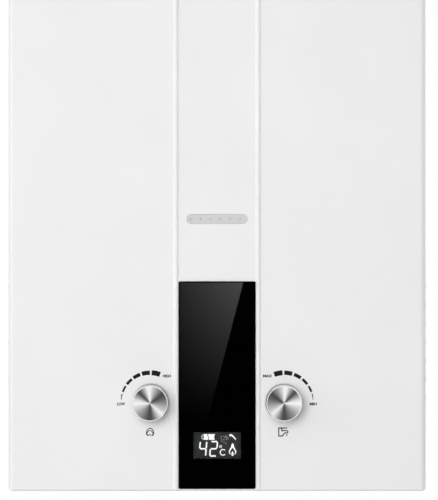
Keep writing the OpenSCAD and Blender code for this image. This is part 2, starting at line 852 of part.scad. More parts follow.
module microswitch() color("black") translate([gas_x + gas_right, valve_y, knob_z]) difference() {
    span([0, -switch_w / 2, switch_z], [switch_l, switch_w / 2, switch_z + switch_h]);
    translate([0, 0, button_z]) rod_x(button_r + run_gap, switch_l - 5, switch_l + 1);
}

module switch_button() color("red")
    translate([gas_x + gas_right + switch_l + button_out, valve_y, knob_z + button_z])
        rod_x(button_r, -button_l, 0);

// Places of the screws round the diaphragm flange
module flange_screw_places() {
    for (k = [0 : flange_screw_count - 1]) rotate([360 * (k + 0.5) / flange_screw_count, 0, 0])
        translate([0, 0, flange_screw_r]) children();
}

module water_valve_cover() color("lightgray")
    translate([water_x + diaphragm_x - diaphragm_t, valve_y, knob_z]) difference() {
        union() {
            rod_x(flange_r, -cap_t, 0);
            rod_x(neck_r, -cap_t - neck_l, -cap_t + 1);
        }
        rod_x(cavity_r, -cap_t + 4, 1);
        rod_x(rod_r + run_gap, -cap_t - neck_l - 1, 0);
        flange_screw_places() rod_x(screw_d / 2 + run_gap, -cap_t - 1, 1);
    }

module diaphragm() color("black") translate([water_x + diaphragm_x, valve_y, knob_z]) difference() {
    rod_x(diaphragm_r, -diaphragm_t, 0);
    flange_screw_places() rod_x(screw_d / 2 + run_gap, -diaphragm_t - 1, 1);
}

module water_valve_body() color("lightgray") translate([water_x, valve_y, knob_z]) difference() {
    union() {
        rod_x(flange_r, diaphragm_x, diaphragm_x + flange_t);
        rod_x(water_barrel_r, diaphragm_x + cut, 10);
        rod_y(water_plug_r, valve_front, water_back);
        rod_z(boss_r, -boss_drop, 0);
        translate([0, 0, water_out_z]) rod_x(water_boss_r, 0, water_out_x);
        translate([drain_x - water_x, drain_y - valve_y, 0]) rod_z(10, -boss_drop + 4, -4);
        span([0, -36, -boss_drop + 6], [drain_off, -20, -6]);
        valve_face();
    }
    rod_x(cavity_r, diaphragm_x - 1, diaphragm_x + 5);
    rod_x(sense_r, diaphragm_x, 0);
    rod_z(stub_bore / 2, -boss_drop - cut, 0);
    rod_y(feed_bore_r, plug_back - cut, 0);
    rod_y(plug_r, valve_front - 1, plug_back);
    translate([0, 0, water_out_z]) {
        rod_y(water_cross_r, 2 * plug_back, 2);
        rod_x(tube_d / 2 - tube_t, 0, water_out_x + cut);
    }
    translate([drain_x - water_x, drain_y - valve_y, 0]) rod_z(drain_r + run_gap, -boss_drop, -12);
    flange_screw_places() rod_x(screw_d / 2 + run_gap, diaphragm_x - 1, diaphragm_x + flange_t + 1);
    gland_screw_holes(1.6, valve_front - 1, valve_front + 6);
}

module valve_screws() color("silver")
    translate([water_x + diaphragm_x - diaphragm_t - cap_t, valve_y, knob_z]) flange_screw_places()
        rotate([0, -90, 0]) screw(cap_t + diaphragm_t + flange_t - 1);

module gland_plates() color("silver") for (x = [gas_x, water_x])
    translate([x, valve_y, knob_z]) difference() {
    span([-gland_w / 2, valve_front - gland_t, -12], [gland_w / 2, valve_front, 12]);
    rod_y(spindle_d / 2 + run_gap, valve_front - gland_t - 1, valve_front + 1);
    gland_screw_holes(1.6, valve_front - gland_t - 1, valve_front + 1);
}

module gland_screws() color("silver") for (x = [gas_x, water_x], s = [-1, 1])
    translate([x + s * gland_screw_x, valve_y, knob_z]) {
        rod_y(1.5, valve_front - gland_t, valve_front + 5);
        rod_y(2.8, valve_front - gland_t - 2.2, valve_front - gland_t);
    }

module gas_solenoid() color("gold") translate([gas_x, valve_y, knob_z]) {
    foot = barrel_r + coil_boss;
    rod_y(coil_boss_r - 1.5, foot, foot + 4);
    rod_y(coil_r, foot + 4, foot + 4 + coil_l);
    rod_y(coil_r / 2, foot + 4 + coil_l, foot + 6 + coil_l);
}

// Pipe stubs under the bottom plate

// Threaded stub, clamped to the plate between its collar and a lock nut
module stub(top_z) {
    r = thread_d / 2;
    difference() {
        union() {
            rod_z(boss_r, floor_z, top_z);
            rod_z(r - neck_cut, thread_top_z, floor_z + eps);
            rod_z(r, stub_end_z + 1, thread_top_z);
            translate([0, 0, stub_end_z]) cylinder(r1 = r - 1, r2 = r, h = 1);
        }
        rod_z(stub_bore / 2, stub_end_z - 1, top_z + 1);
    }
}

module gas_inlet() color("goldenrod") translate([gas_x, stub_y, 0]) stub(valve_base_z);
module cold_inlet() color("goldenrod") translate([water_x, stub_y, 0]) stub(valve_base_z);
module hot_outlet() color("goldenrod") translate([hot_x, stub_y, 0]) stub(valve_base_z);

module stub_nuts() color("gold") for (x = [gas_x, water_x, hot_x])
    translate([x, stub_y, nut_base_z]) difference() {
    cylinder(d = nut_af / cos(30), h = nut_t, $fn = 6);
    translate([0, 0, -1]) cylinder(r = thread_d / 2 - neck_cut + run_gap, h = nut_t + 2);
}

module inlet_filter() color("silver") translate([water_x, stub_y, stub_end_z + 4]) difference() {
    cylinder(r = stub_bore / 2 - run_gap, h = 18);
    translate([0, 0, -1]) cylinder(r = stub_bore / 2 - 1.2, h = 18);
    for (a = [0, 60, 120]) rotate(a) span([-stub_bore, -1, 3], [stub_bore, 1, 14]);
}

module drain_plug() color("goldenrod") translate([drain_x, drain_y, 0]) {
    rod_z(drain_r, skirt_h - 3, knob_z - 14);
    translate([0, 0, skirt_h - 3 - drain_head_t]) cylinder(r = 9, h = drain_head_t, $fn = 6);
    rod_z(9, skirt_h - 3.5, skirt_h - 2);
}

module drain_seal() color("black") translate([drain_x, drain_y, valve_base_z + 4 - 2.4]) difference() {
    cylinder(r = drain_r + 2.2, h = 2.4);
    translate([0, 0, -1]) cylinder(r = drain_r + run_gap, h = 5);
}

// Gas train and burner

module gas_riser() color("silver") translate([gas_x, manifold_y, 0]) difference() {
    rod_z(riser_r, knob_z + boss_drop, manifold_z - manifold_s / 2);
    rod_z(riser_r - 2, knob_z + boss_drop - 1, manifold_z);
}

bar_xs = [for (i = [0 : bar_count - 1]) (i - (bar_count - 1) / 2) * bar_pitch];

module gas_manifold() color("silver") difference() {
    union() {
        translate([0, manifold_y, manifold_z])
            cube([manifold_w, manifold_s, manifold_s], center = true);
        for (s = [-1, 1]) translate([s * (manifold_w / 2 - manifold_ear / 2), 0, 0])
            span([-manifold_ear / 2, chamber_front_y - manifold_ear_t, manifold_z],
                 [manifold_ear / 2, chamber_front_y, frame_low_z + manifold_ear_lap]);
    }
    translate([0, manifold_y, manifold_z]) {
        rod_x(5, 4 - manifold_w / 2, manifold_w / 2 - 4);
        translate([gas_x, 0, 0]) rod_z(riser_r - 2, -manifold_s, 0);
        for (x = bar_xs) translate([x, 0, 0]) rod_y(1, 0, manifold_s);
    }
}

module gas_jets() color("goldenrod") for (x = bar_xs)
    translate([x, manifold_y + manifold_s / 2, manifold_z]) difference() {
        rod_y(jet_r, 0, jet_l);
        rod_y(0.8, -1, jet_l + 1);
    }

module burner_bars() color("slategray") for (x = bar_xs) translate([x, 0, 0]) difference() {
    union() {
        span([-bar_t / 2, bar_front_y, bar_low_z], [bar_t / 2, bar_back_y, bar_high_z - bar_t / 2]);
        translate([0, 0, bar_high_z - bar_t / 2]) rod_y(bar_t / 2, bar_front_y, bar_back_y);
    }
    translate([0, 0, venturi_z]) rod_y(venturi_r, bar_front_y - cut, bar_back_y - tie_inset);
    span([bar_wall - bar_t / 2, bar_front_y + bar_wall, bar_low_z + bar_wall],
         [bar_t / 2 - bar_wall, bar_back_y - bar_wall, bar_high_z - bar_t / 2]);
    span([-bar_slot / 2, bar_front_y + bar_end, bar_high_z - bar_t],
         [bar_slot / 2, bar_back_y - bar_end, bar_high_z + cut]);
    for (y = [bar_front_y + tie_inset, bar_back_y - tie_inset]) translate([0, y, tie_z])
        rod_x(tie_r + run_gap, -bar_t, bar_t);
}

module tie_rods() color("silver") for (y = [bar_front_y + tie_inset, bar_back_y - tie_inset])
    translate([0, y, tie_z]) {
        rod_x(tie_r, -chamber_w / 2 - 3, chamber_w / 2 + 3);
        for (s = [0, 1]) mirror([s, 0, 0]) rod_x(4, chamber_w / 2 + gap, chamber_w / 2 + 3);
    }

// Rectangular sheet wall round the burner or the fire
module fire_wall(z0, z1) {
    difference() {
        span([-chamber_w / 2, chamber_front_y, z0], [chamber_w / 2, chamber_back_y, z1]);
        span([chamber_t - chamber_w / 2, chamber_front_y + chamber_t, z0 - 1],
             [chamber_w / 2 - chamber_t, chamber_back_y - chamber_t, z1 + 1]);
    }
}

module burner_frame() color("gray") difference() {
    union() {
        fire_wall(frame_low_z, frame_high_z);
        on_both_sides() {
            span([chamber_w / 2 - chamber_t, chamber_back_y - 1, foot_low_z],
                 [chamber_w / 2, -frame_t, foot_high_z]);
            span([chamber_w / 2 - chamber_t, -frame_t - chamber_t, foot_low_z],
                 [chamber_w / 2 + foot_w, -frame_t, foot_high_z]);
        }
    }
    for (y = [bar_front_y + tie_inset, bar_back_y - tie_inset]) translate([0, y, tie_z])
        rod_x(tie_r + run_gap, -chamber_w, chamber_w);
    for (p = frame_points) translate([p.x, 0, p.y]) rod_y(screw_d / 2 + run_gap, -6, 1);
}

// Ceramic electrode through the front of the chamber, with a wire tip over the burner
module electrode(x) {
    translate([x, chamber_front_y, electrode_z]) {
        rod_y(electrode_r, -electrode_back, electrode_in);
        rod_y(electrode_r + 2, -4, 0);
        rod_y(electrode_wire_r, electrode_in - cut, electrode_in + electrode_tip);
    }
}
module ignition_electrode() color("ivory") electrode(-electrode_x);
module flame_electrode() color("ivory") electrode(electrode_x);

module combustion_chamber() color("peru") difference() {
    fire_wall(chamber_low_z, chamber_high_z);
    translate([0, 0, window_z]) upright(chamber_front_y - cut, chamber_front_y + chamber_t + cut)
        oblong(window_w, window_h);
    for (s = [-1, 1]) translate([s * electrode_x, chamber_front_y, electrode_z])
        rod_y(electrode_r + run_gap, -1, 3);
}

pass_ys = [for (i = [0 : pass_count - 1]) first_pass_y - i * pass_pitch];

module fin_pack() color("peru") difference() {
    union() {
        for (i = [0 : fin_count - 1])
            translate([(i - (fin_count - 1) / 2) * (chamber_w - chamber_t) / (fin_count - 1), 0, 0])
                span([-fin_t / 2, chamber_front_y, chamber_high_z],
                     [fin_t / 2, chamber_back_y, hood_low_z]);
        for (y = pass_ys) translate([0, y, pass_z])
            rod_x(tube_d / 2 + sleeve_t, -chamber_w / 2, chamber_w / 2);
    }
    for (y = pass_ys) translate([0, y, pass_z]) rod_x(tube_d / 2 + run_gap, -chamber_w, chamber_w);
}

// Serpentine tube: it enters on the right at the back and leaves on the left at the front
serpentine = [
    [tube_end_x, first_pass_y, pass_z],
    for (i = [0 : pass_count - 2]) let (x = (i % 2 == 0 ? -1 : 1) * (turn_x + tube_bend - 2))
        each [[x, pass_ys[i], pass_z], [x, pass_ys[i + 1], pass_z]],
    [-tube_end_x, last_pass_y, pass_z],
];
module exchanger_tube() color("peru") water_pipe(serpentine);

// Cold pipe: up the right side, once round the chamber, then up to the fins
cold_route = [
    [water_x + water_out_x, valve_y, knob_z + water_out_z],
    [riser_x, valve_y, knob_z + water_out_z],
    [riser_x, valve_y, coil_z],
    [riser_x, chamber_front_y - coil_off, coil_z],
    [-chamber_w / 2 - coil_off, chamber_front_y - coil_off, coil_z],
    [-chamber_w / 2 - coil_off, chamber_back_y + coil_off, coil_z],
    [return_x, chamber_back_y + coil_off, coil_z],
    [return_x, chamber_back_y + coil_off, pass_z],
    [return_x, first_pass_y, pass_z],
    [tube_end_x, first_pass_y, pass_z],
];
module cold_pipe() color("peru") water_pipe(cold_route);

// Hot pipe: from the fins down the left side to the outlet stub
hot_route = [
    [-tube_end_x, last_pass_y, pass_z],
    [hot_x, last_pass_y, pass_z],
    [hot_x, last_pass_y, hot_jog_z],
    [hot_x, stub_y, hot_jog_z],
    [hot_x, stub_y, valve_base_z],
];
module hot_pipe() color("peru") water_pipe(hot_route);

module overheat_switch() color("black")
    translate([-chamber_w / 2, chamber_y, chamber_high_z - cutout_drop]) {
    rod_x(cutout_r, -cutout_l, 0);
    rod_x(cutout_tip_r, -cutout_l - cutout_tip_l, -cutout_l);
}

module outlet_sensor() color("black") translate([hot_x, last_pass_y, sensor_z]) difference() {
    union() {
        rod_z(tube_d / 2 + sensor_wall, 0, sensor_h);
        span([-sensor_w / 2, 0, 0], [sensor_w / 2, sensor_l, sensor_h]);
    }
    rod_z(tube_d / 2 + run_gap, -cut, sensor_h + cut);
}

// Flue

module hood_form(t) {
    hull() {
        span([t - chamber_w / 2, chamber_front_y + t, hood_low_z - (t > 0 ? 1 : 0)],
             [chamber_w / 2 - t, chamber_back_y - t, hood_low_z + hood_slot_h + 4]);
        translate([0, chamber_y, hood_high_z - cut])
            cylinder(r = hood_neck_r - t, h = cut + (t > 0 ? eps : 0), $fn = 48);
    }
}
module flue_hood() color("lightgray") difference() {
    union() {
        hood_form(0);
        translate([0, chamber_y, 0]) rod_z(hood_neck_r, hood_high_z - 1, hood_high_z + 18);
    }
    hood_form(chamber_t);
    translate([0, chamber_y, 0]) rod_z(hood_neck_r - chamber_t, hood_high_z - 2, hood_high_z + 19);
    for (s = [-1, 0, 1]) translate([s * hood_slot_pitch, 0, hood_low_z + 9])
        upright(chamber_front_y - 1, chamber_front_y + 3) oblong(hood_slot_w, hood_slot_h - 6);
}

module flue_collar() color("lightgray") translate([0, chamber_y, 0]) difference() {
    union() {
        rod_z(flue_d / 2, collar_low_z, case_h + flue_h);
        rod_z(collar_flange_r, plate_high_z, plate_high_z + collar_t_wall);
    }
    rod_z(flue_d / 2 - collar_t_wall, collar_low_z - 1, case_h + flue_h + 1);
}

// Electrics

module ignition_box() color("white") translate([0, 0, ignition_z]) difference() {
    union() {
        span([-ignition_w / 2, -frame_t - ignition_d, -ignition_h / 2],
             [ignition_w / 2, -frame_t, ignition_h / 2]);
        on_both_sides() span([ignition_w / 2 - cut, -frame_t - ignition_ear_t, -ignition_ear_h / 2],
                             [ignition_w / 2 + ignition_ear, -frame_t, ignition_ear_h / 2]);
    }
    on_both_sides() translate([ignition_w / 2 + ignition_ear / 2, 0, 0])
        rod_y(screw_d / 2 + run_gap, -frame_t - ignition_ear_t - cut, cut);
}

module battery_box() color("white") translate([box_x, box_y, floor_z]) difference() {
    span([-box_in_w / 2 - box_wall, -box_in_l / 2 - box_wall, 0],
         [box_in_w / 2 + box_wall, box_in_l / 2 + box_wall, box_in_h + box_wall]);
    span([-box_in_w / 2, -box_in_l / 2, -1], [box_in_w / 2, box_in_l / 2, box_in_h]);
}

cell_z = floor_z + cell_d / 2 + 1;
module battery_contacts() color("silver") for (s = [-1, 1])
    translate([box_x, box_y + s * box_in_l / 2, cell_z]) {
    span([-contact_w / 2, -s * 0.5 - 0.5, -contact_w / 2], [contact_w / 2, -s * 0.5 + 0.5, contact_w / 2]);
    mirror([0, s > 0 ? 1 : 0, 0]) {
        rod_y(contact_disc_r, 1, 2);
        rod_y(contact_tip_r, 2, contact_t - gap);
    }
}

module batteries() color("dimgray") for (s = [-1, 1]) translate([box_x, box_y + s * cell_l / 2, cell_z]) {
    rod_y(cell_d / 2, gap / 2 - cell_l / 2, cell_l / 2 - 3);
    rod_y(5, cell_l / 2 - 3, cell_l / 2 - gap / 2);
}

module battery_lid() color("white") difference() {
    union() {
        span([hinge_x + knuckle_r, box_y - box_in_l / 2 - lid_over, skirt_h - gap - lid_t],
             [box_x + box_in_w / 2 + lid_over, box_y + box_in_l / 2 + lid_over, skirt_h - gap]);
        span([box_x + box_in_w / 2 + lid_over - 1, box_y - 12, skirt_h - gap - lid_t],
             [box_x + box_in_w / 2 + lid_over + 5, box_y + 12, skirt_h - gap - lid_t / 2]);
        translate([hinge_x, box_y, hinge_z]) {
            rod_y(knuckle_r, lug_t / 2 + gap - lug_y, lug_y - lug_t / 2 - gap);
            span([0, lug_t / 2 + gap - lug_y, 0], [knuckle_r + 1, lug_y - lug_t / 2 - gap, knuckle_r]);
        }
    }
    translate([hinge_x, box_y, hinge_z]) {
        rod_y(hinge_r + run_gap, -lug_y, lug_y);
        for (s = [-1, 1]) translate([0, s * lug_y, 0])
            span([0, -lug_t / 2 - gap, -lug_r], [lug_notch, lug_t / 2 + gap, lug_notch]);
    }
}

module hinge_pin() color("silver") translate([hinge_x, box_y, hinge_z])
    rod_y(hinge_r, -lug_y - lug_t / 2 - 1, lug_y + lug_t / 2 + 1);

// Wiring held inside the case: the ends sit on their sockets, the points between are hand-set
lead_r = 1.6;
side_x = chamber_w / 2;
lead_gap = 0.6;
socket_x = 30;
box_top_z = ignition_z + ignition_h / 2 + lead_gap;
box_front_y = -frame_t - ignition_d - lead_gap;
electrode_end_y = chamber_front_y - electrode_back - lead_gap;
cell_box_top_z = floor_z + box_in_h + box_wall + lead_gap;
function electrode_route(s) = [
    [s * socket_x, -16, box_top_z], [s * socket_x, -16, box_top_z + 8], [s * (side_x - 43), -14, 116],
    [s * (side_x + 3), -16, 128], [s * (side_x + 11), chamber_y + 16, 142],
    [s * (side_x + 11), chamber_front_y + 8, 160], [s * (side_x - 1), chamber_front_y - 20, 185],
    [s * (side_x - 43), electrode_end_y - 6, electrode_z - 5],
    [s * (electrode_x + 6), electrode_end_y - 6, electrode_z],
    [s * electrode_x, electrode_end_y - 4, electrode_z], [s * electrode_x, electrode_end_y, electrode_z],
];
battery_route = [
    [box_x, box_y + 32, cell_box_top_z], [box_x, box_y + 32, cell_box_top_z + 5], [box_x - 7, -24, 79],
    [ignition_w / 2 + 35, -16, 82], [ignition_w / 2 + 11, -14, 84], [ignition_w / 2 + lead_gap, -14, 84],
];
display_end_y = pocket_back_y + display_back;
display_route = [
    [0, display_end_y + lead_gap, display_z], [0, display_end_y + 4, display_z], [-4, display_end_y + 8, 47],
    [-8, display_end_y + 20, 47], [-8, box_front_y - 33, 34], [-8, box_front_y - 9, 52],
    [-8, box_front_y - 3, 52], [-8, box_front_y, 52],
];
module wiring() color("crimson") {
    for (route = [electrode_route(-1), electrode_route(1), battery_route, display_route])
        swept_tube(smooth(route, 3), lead_r, 8);
}

in_case() back_plate();
in_case() front_cover();
in_case() top_plate();
in_case() bottom_plate();
in_case() glass_panel();
in_case() display_module();
in_case() flame_window();
in_case() gas_knob();
in_case() gas_knob_face();
in_case() gas_spindle();
in_case() water_knob();
in_case() water_knob_face();
in_case() water_spindle();
in_case() gas_valve_body();
in_case() gas_valve_cap();
in_case() return_spring();
in_case() link_rod();
in_case() microswitch();
in_case() switch_button();
in_case() water_valve_cover();
in_case() diaphragm();
in_case() water_valve_body();
in_case() valve_screws();
in_case() gland_plates();
in_case() gland_screws();
in_case() gas_solenoid();
in_case() gas_inlet();
in_case() cold_inlet();
in_case() hot_outlet();
in_case() stub_nuts();
in_case() inlet_filter();
in_case() drain_plug();
in_case() drain_seal();
in_case() gas_riser();
in_case() gas_manifold();
in_case() gas_jets();
in_case() burner_bars();
in_case() tie_rods();
in_case() burner_frame();
in_case() ignition_electrode();
in_case() flame_electrode();
in_case() combustion_chamber();
in_case() fin_pack();
in_case() exchanger_tube();
in_case() cold_pipe();
in_case() hot_pipe();
in_case() overheat_switch();
in_case() outlet_sensor();
in_case() flue_hood();
in_case() flue_collar();
in_case() ignition_box();
in_case() battery_box();
in_case() battery_contacts();
in_case() batteries();
in_case() battery_lid();
in_case() hinge_pin();
in_case() cover_screws();
in_case() frame_screws();
in_case() wiring();
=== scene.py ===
# Wall-hung tankless gas water heater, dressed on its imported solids. Lengths are metres:
# the wall face is y = 0, the front faces -Y, +Z is up, and the wall bolts are centred on the origin.
import math

import bmesh
import bpy
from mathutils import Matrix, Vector


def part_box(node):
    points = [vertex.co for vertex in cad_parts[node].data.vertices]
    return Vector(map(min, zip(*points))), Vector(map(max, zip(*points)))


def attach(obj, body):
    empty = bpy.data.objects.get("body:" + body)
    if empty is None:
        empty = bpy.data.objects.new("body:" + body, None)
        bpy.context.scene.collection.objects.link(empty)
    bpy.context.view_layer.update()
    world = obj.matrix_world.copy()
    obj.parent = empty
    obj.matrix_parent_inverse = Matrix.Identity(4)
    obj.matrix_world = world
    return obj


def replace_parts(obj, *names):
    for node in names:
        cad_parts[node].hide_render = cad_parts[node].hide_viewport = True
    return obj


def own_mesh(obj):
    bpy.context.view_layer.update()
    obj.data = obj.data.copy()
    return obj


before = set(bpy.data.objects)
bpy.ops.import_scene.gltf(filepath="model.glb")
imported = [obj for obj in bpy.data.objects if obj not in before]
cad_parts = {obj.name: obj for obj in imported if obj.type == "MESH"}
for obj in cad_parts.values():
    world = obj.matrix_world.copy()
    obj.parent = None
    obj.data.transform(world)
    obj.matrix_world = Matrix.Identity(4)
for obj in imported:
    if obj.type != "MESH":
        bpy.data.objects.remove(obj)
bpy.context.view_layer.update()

# Back, top and bottom plates: the folded frame that carries everything, of zinc-plated sheet
# steel. The zinc freezes in flat crystals, each of its own brightness, under a light oil haze.

mm = 0.001


def new_finish(name, metallic=0.0, roughness=0.5):
    """A material whose shader has its plain values set; patterns are joined on afterwards."""
    finish = bpy.data.materials.new(name)
    finish.use_nodes = True
    shader = finish.node_tree.nodes["Principled BSDF"]
    shader.inputs["Metallic"].default_value = metallic
    shader.inputs["Roughness"].default_value = roughness
    return finish


def add_node(finish, kind, **settings):
    node = finish.node_tree.nodes.new(kind)
    for key, value in settings.items():
        setattr(node, key, value)
    return node


def join(finish, source, target):
    finish.node_tree.links.new(source, target)


def shader_input(finish, name):
    return finish.node_tree.nodes["Principled BSDF"].inputs[name]


def place_on_part(finish, centre=(0, 0, 0), stretch=(1, 1, 1)):
    """Coordinates fixed to the part, in metres from a centre, each axis stretched."""
    where = add_node(finish, "ShaderNodeTexCoord")
    mapping = add_node(finish, "ShaderNodeMapping")
    mapping.inputs["Location"].default_value = [-c * s for c, s in zip(centre, stretch)]
    mapping.inputs["Scale"].default_value = stretch
    join(finish, where.outputs["Object"], mapping.inputs["Vector"])
    return mapping.outputs["Vector"]


def cloud(finish, size, stretch=(1, 1, 1), detail=3.0):
    """Soft mottling whose patches are about this size in metres."""
    noise = add_node(finish, "ShaderNodeTexNoise")
    noise.inputs["Scale"].default_value = 1 / size
    noise.inputs["Detail"].default_value = detail
    join(finish, place_on_part(finish, stretch=stretch), noise.inputs["Vector"])
    return noise.outputs["Fac"]


def crystals(finish, size):
    """Flat cells of about this size, each with its own value."""
    cells = add_node(finish, "ShaderNodeTexVoronoi")
    cells.inputs["Scale"].default_value = 1 / size
    join(finish, place_on_part(finish), cells.inputs["Vector"])
    split = add_node(finish, "ShaderNodeSeparateColor")
    join(finish, cells.outputs["Color"], split.inputs["Color"])
    return split.outputs["Red"]


def tint(finish, dark, light, pattern, low=0.3, high=0.7):
    """Colour that runs from dark to light as the pattern runs from low to high."""
    ramp = add_node(finish, "ShaderNodeValToRGB")
    ramp.color_ramp.elements[0].position = low
    ramp.color_ramp.elements[1].position = high
    ramp.color_ramp.elements[0].color = (*dark, 1)
    ramp.color_ramp.elements[1].color = (*light, 1)
    join(finish, pattern, ramp.inputs["Fac"])
    join(finish, ramp.outputs["Color"], shader_input(finish, "Base Color"))


def gloss(finish, smooth, rough, pattern, low=0.3, high=0.7):
    """Roughness that runs from smooth to rough with the pattern."""
    span = add_node(finish, "ShaderNodeMapRange")
    span.inputs["From Min"].default_value = low
    span.inputs["From Max"].default_value = high
    span.inputs["To Min"].default_value = smooth
    span.inputs["To Max"].default_value = rough
    join(finish, pattern, span.inputs["Value"])
    join(finish, span.outputs["Result"], shader_input(finish, "Roughness"))


def relief(finish, pattern, depth, strength=1.0):
    """Fine surface relief of this depth in metres."""
    bump = add_node(finish, "ShaderNodeBump")
    bump.inputs["Distance"].default_value = depth
    bump.inputs["Strength"].default_value = strength
    join(finish, pattern, bump.inputs["Height"])
    join(finish, bump.outputs["Normal"], shader_input(finish, "Normal"))


def dress(finish, *nodes):
    """Puts a finish on CAD nodes."""
    for node in nodes:
        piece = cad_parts[node]
        if not piece.material_slots:
            piece.data.materials.append(finish)
        for place in piece.material_slots:
            place.material = finish


zinc_sheet = new_finish("zinc_sheet", metallic=1.0)
zinc_crystal = crystals(zinc_sheet, 8 * mm)
tint(zinc_sheet, (0.57, 0.585, 0.60), (0.66, 0.675, 0.685), zinc_crystal, 0.0, 1.0)
gloss(zinc_sheet, 0.30, 0.46, cloud(zinc_sheet, 30 * mm))
relief(zinc_sheet, cloud(zinc_sheet, 3 * mm), 0.02 * mm)
dress(zinc_sheet, "back_plate", "top_plate", "bottom_plate", "flue_hood", "burner_frame")

# Flue collar: rolled stainless strip with a flange, spot-welded to the top plate. The rolling
# leaves fine lines round the tube.

flue_steel = new_finish("flue_steel", metallic=1.0)
roll_lines = cloud(flue_steel, 20 * mm, stretch=(1, 1, 60))
tint(flue_steel, (0.56, 0.56, 0.57), (0.68, 0.68, 0.69), roll_lines)
gloss(flue_steel, 0.26, 0.38, roll_lines)
relief(flue_steel, roll_lines, 0.02 * mm)
dress(flue_steel, "flue_collar")

# Burner: eleven bars, each pressed from two steel shells, threaded on tie rods in a folded
# frame. The flame has left the bars straw and blue.

burner_steel = new_finish("burner_steel", metallic=1.0)
tint(burner_steel, (0.34, 0.33, 0.36), (0.58, 0.52, 0.44), cloud(burner_steel, 25 * mm))
gloss(burner_steel, 0.35, 0.5, cloud(burner_steel, 6 * mm))
dress(burner_steel, "burner_bars")

# Rods, riser, screws and small pressings inside: bright drawn or stamped steel, lightly plated.
# They are screwed, hooked or clipped between the larger pieces.

bright_steel = new_finish("bright_steel", metallic=1.0)
tint(bright_steel, (0.52, 0.52, 0.53), (0.64, 0.64, 0.65), cloud(bright_steel, 4 * mm))
gloss(bright_steel, 0.24, 0.4, cloud(bright_steel, 2 * mm))
relief(bright_steel, cloud(bright_steel, 0.6 * mm), 0.01 * mm)
dress(bright_steel, "tie_rods", "gas_riser", "link_rod", "valve_screws",
      "gland_plates", "gland_screws", "frame_screws", "hinge_pin", "inlet_filter",
      "battery_contacts")

# Gas valve, its cap and the manifold: aluminium castings with a grainy sand skin, screwed
# together and hung from the frame.

sand_cast = new_finish("sand_cast_aluminium", metallic=1.0)
tint(sand_cast, (0.48, 0.48, 0.49), (0.62, 0.62, 0.63), cloud(sand_cast, 5 * mm))
gloss(sand_cast, 0.45, 0.62, cloud(sand_cast, 2 * mm))
relief(sand_cast, cloud(sand_cast, 0.8 * mm), 0.08 * mm)
dress(sand_cast, "gas_manifold", "gas_valve_body", "gas_valve_cap")

# Combustion chamber, fins and water tubes: soft copper sheet and tube, soldered together and
# browned by heat in cloudy patches.

copper = new_finish("soldered_copper", metallic=1.0)
tint(copper, (0.50, 0.24, 0.15), (0.80, 0.46, 0.32), cloud(copper, 40 * mm))
gloss(copper, 0.25, 0.42, cloud(copper, 12 * mm))
relief(copper, cloud(copper, 3 * mm), 0.03 * mm)
dress(copper, "combustion_chamber", "fin_pack", "exchanger_tube", "cold_pipe", "hot_pipe")

# Spark and flame electrodes: each a steel wire fixed in a sleeve of cream ceramic, fired with a
# clear glaze and pushed through the chamber wall.

glazed_ceramic = new_finish("glazed_ceramic", roughness=0.18)
tint(glazed_ceramic, (0.82, 0.79, 0.71), (0.90, 0.88, 0.82), cloud(glazed_ceramic, 4 * mm))
relief(glazed_ceramic, cloud(glazed_ceramic, 1 * mm), 0.02 * mm)
dress(glazed_ceramic, "ignition_electrode", "flame_electrode")

# Water valve, spindles, jets, drain plug and lock nuts: brass, cast or turned from bar and slightly
# dulled. The jets and the plug are screwed in; the spindles slide or turn in their glands.

brass = new_finish("dulled_brass", metallic=1.0)
tint(brass, (0.60, 0.43, 0.18), (0.80, 0.62, 0.32), cloud(brass, 8 * mm))
gloss(brass, 0.22, 0.38, cloud(brass, 3 * mm))
relief(brass, cloud(brass, 0.7 * mm), 0.02 * mm)
dress(brass, "water_valve_body", "water_valve_cover", "gas_spindle", "water_spindle",
      "gas_jets", "drain_plug", "stub_nuts")

# Pipe stubs: turned brass with a G1/2 thread on the outside and a bore through. They screw up
# into the valves, and a lock nut holds each against the bottom plate.

thread_pitch = 1.814 * mm
thread_depth = 0.75 * mm
flank_slope = 2.2
root_flat = 0.6
thread_length = 18.5 * mm
thread_start = 1.2 * mm
stub_bore = 7.5 * mm
stub_rim = 1.0 * mm
stub_shoulder = 31.5 * mm
neck_low = 21.5 * mm
neck_cut = 0.45 * mm
shoulder_step = 3.05 * mm
steps_round = 48
steps_per_turn = 10
crease = math.radians(35)


def new_piece(name, form, finish, body):
    """Turns a finished bmesh into a piece that rides on a body, smooth but for its creases."""
    bmesh.ops.recalc_face_normals(form, faces=form.faces)
    mesh = bpy.data.meshes.new(name)
    form.to_mesh(mesh)
    form.free()
    mesh.materials.append(finish)
    mesh.shade_smooth()
    mesh.set_sharp_from_angle(angle=crease)
    piece = bpy.data.objects.new(name, mesh)
    bpy.context.scene.collection.objects.link(piece)
    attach(piece, body)
    return piece


def skin_rings(form, low, high):
    """Faces between two rings of as many points."""
    for i, here in enumerate(low):
        after = (i + 1) % len(low)
        form.faces.new((here, low[after], high[after], high[i]))


def thread_radius(crest, height, turn):
    """Radius of the thread at a height above the stub's end, a part of a turn round it."""
    along = height - thread_start
    ends = min(along, thread_start + thread_length - height) / thread_pitch
    if ends <= 0:
        return crest - thread_depth if height > thread_start else crest - stub_rim
    phase = (along / thread_pitch - turn) % 1.0
    ridge = min(1.0, max(0.0, flank_slope * (1 - abs(2 * phase - 1)) - root_flat))
    return crest - thread_depth * (1 - ridge * min(1.0, ends))


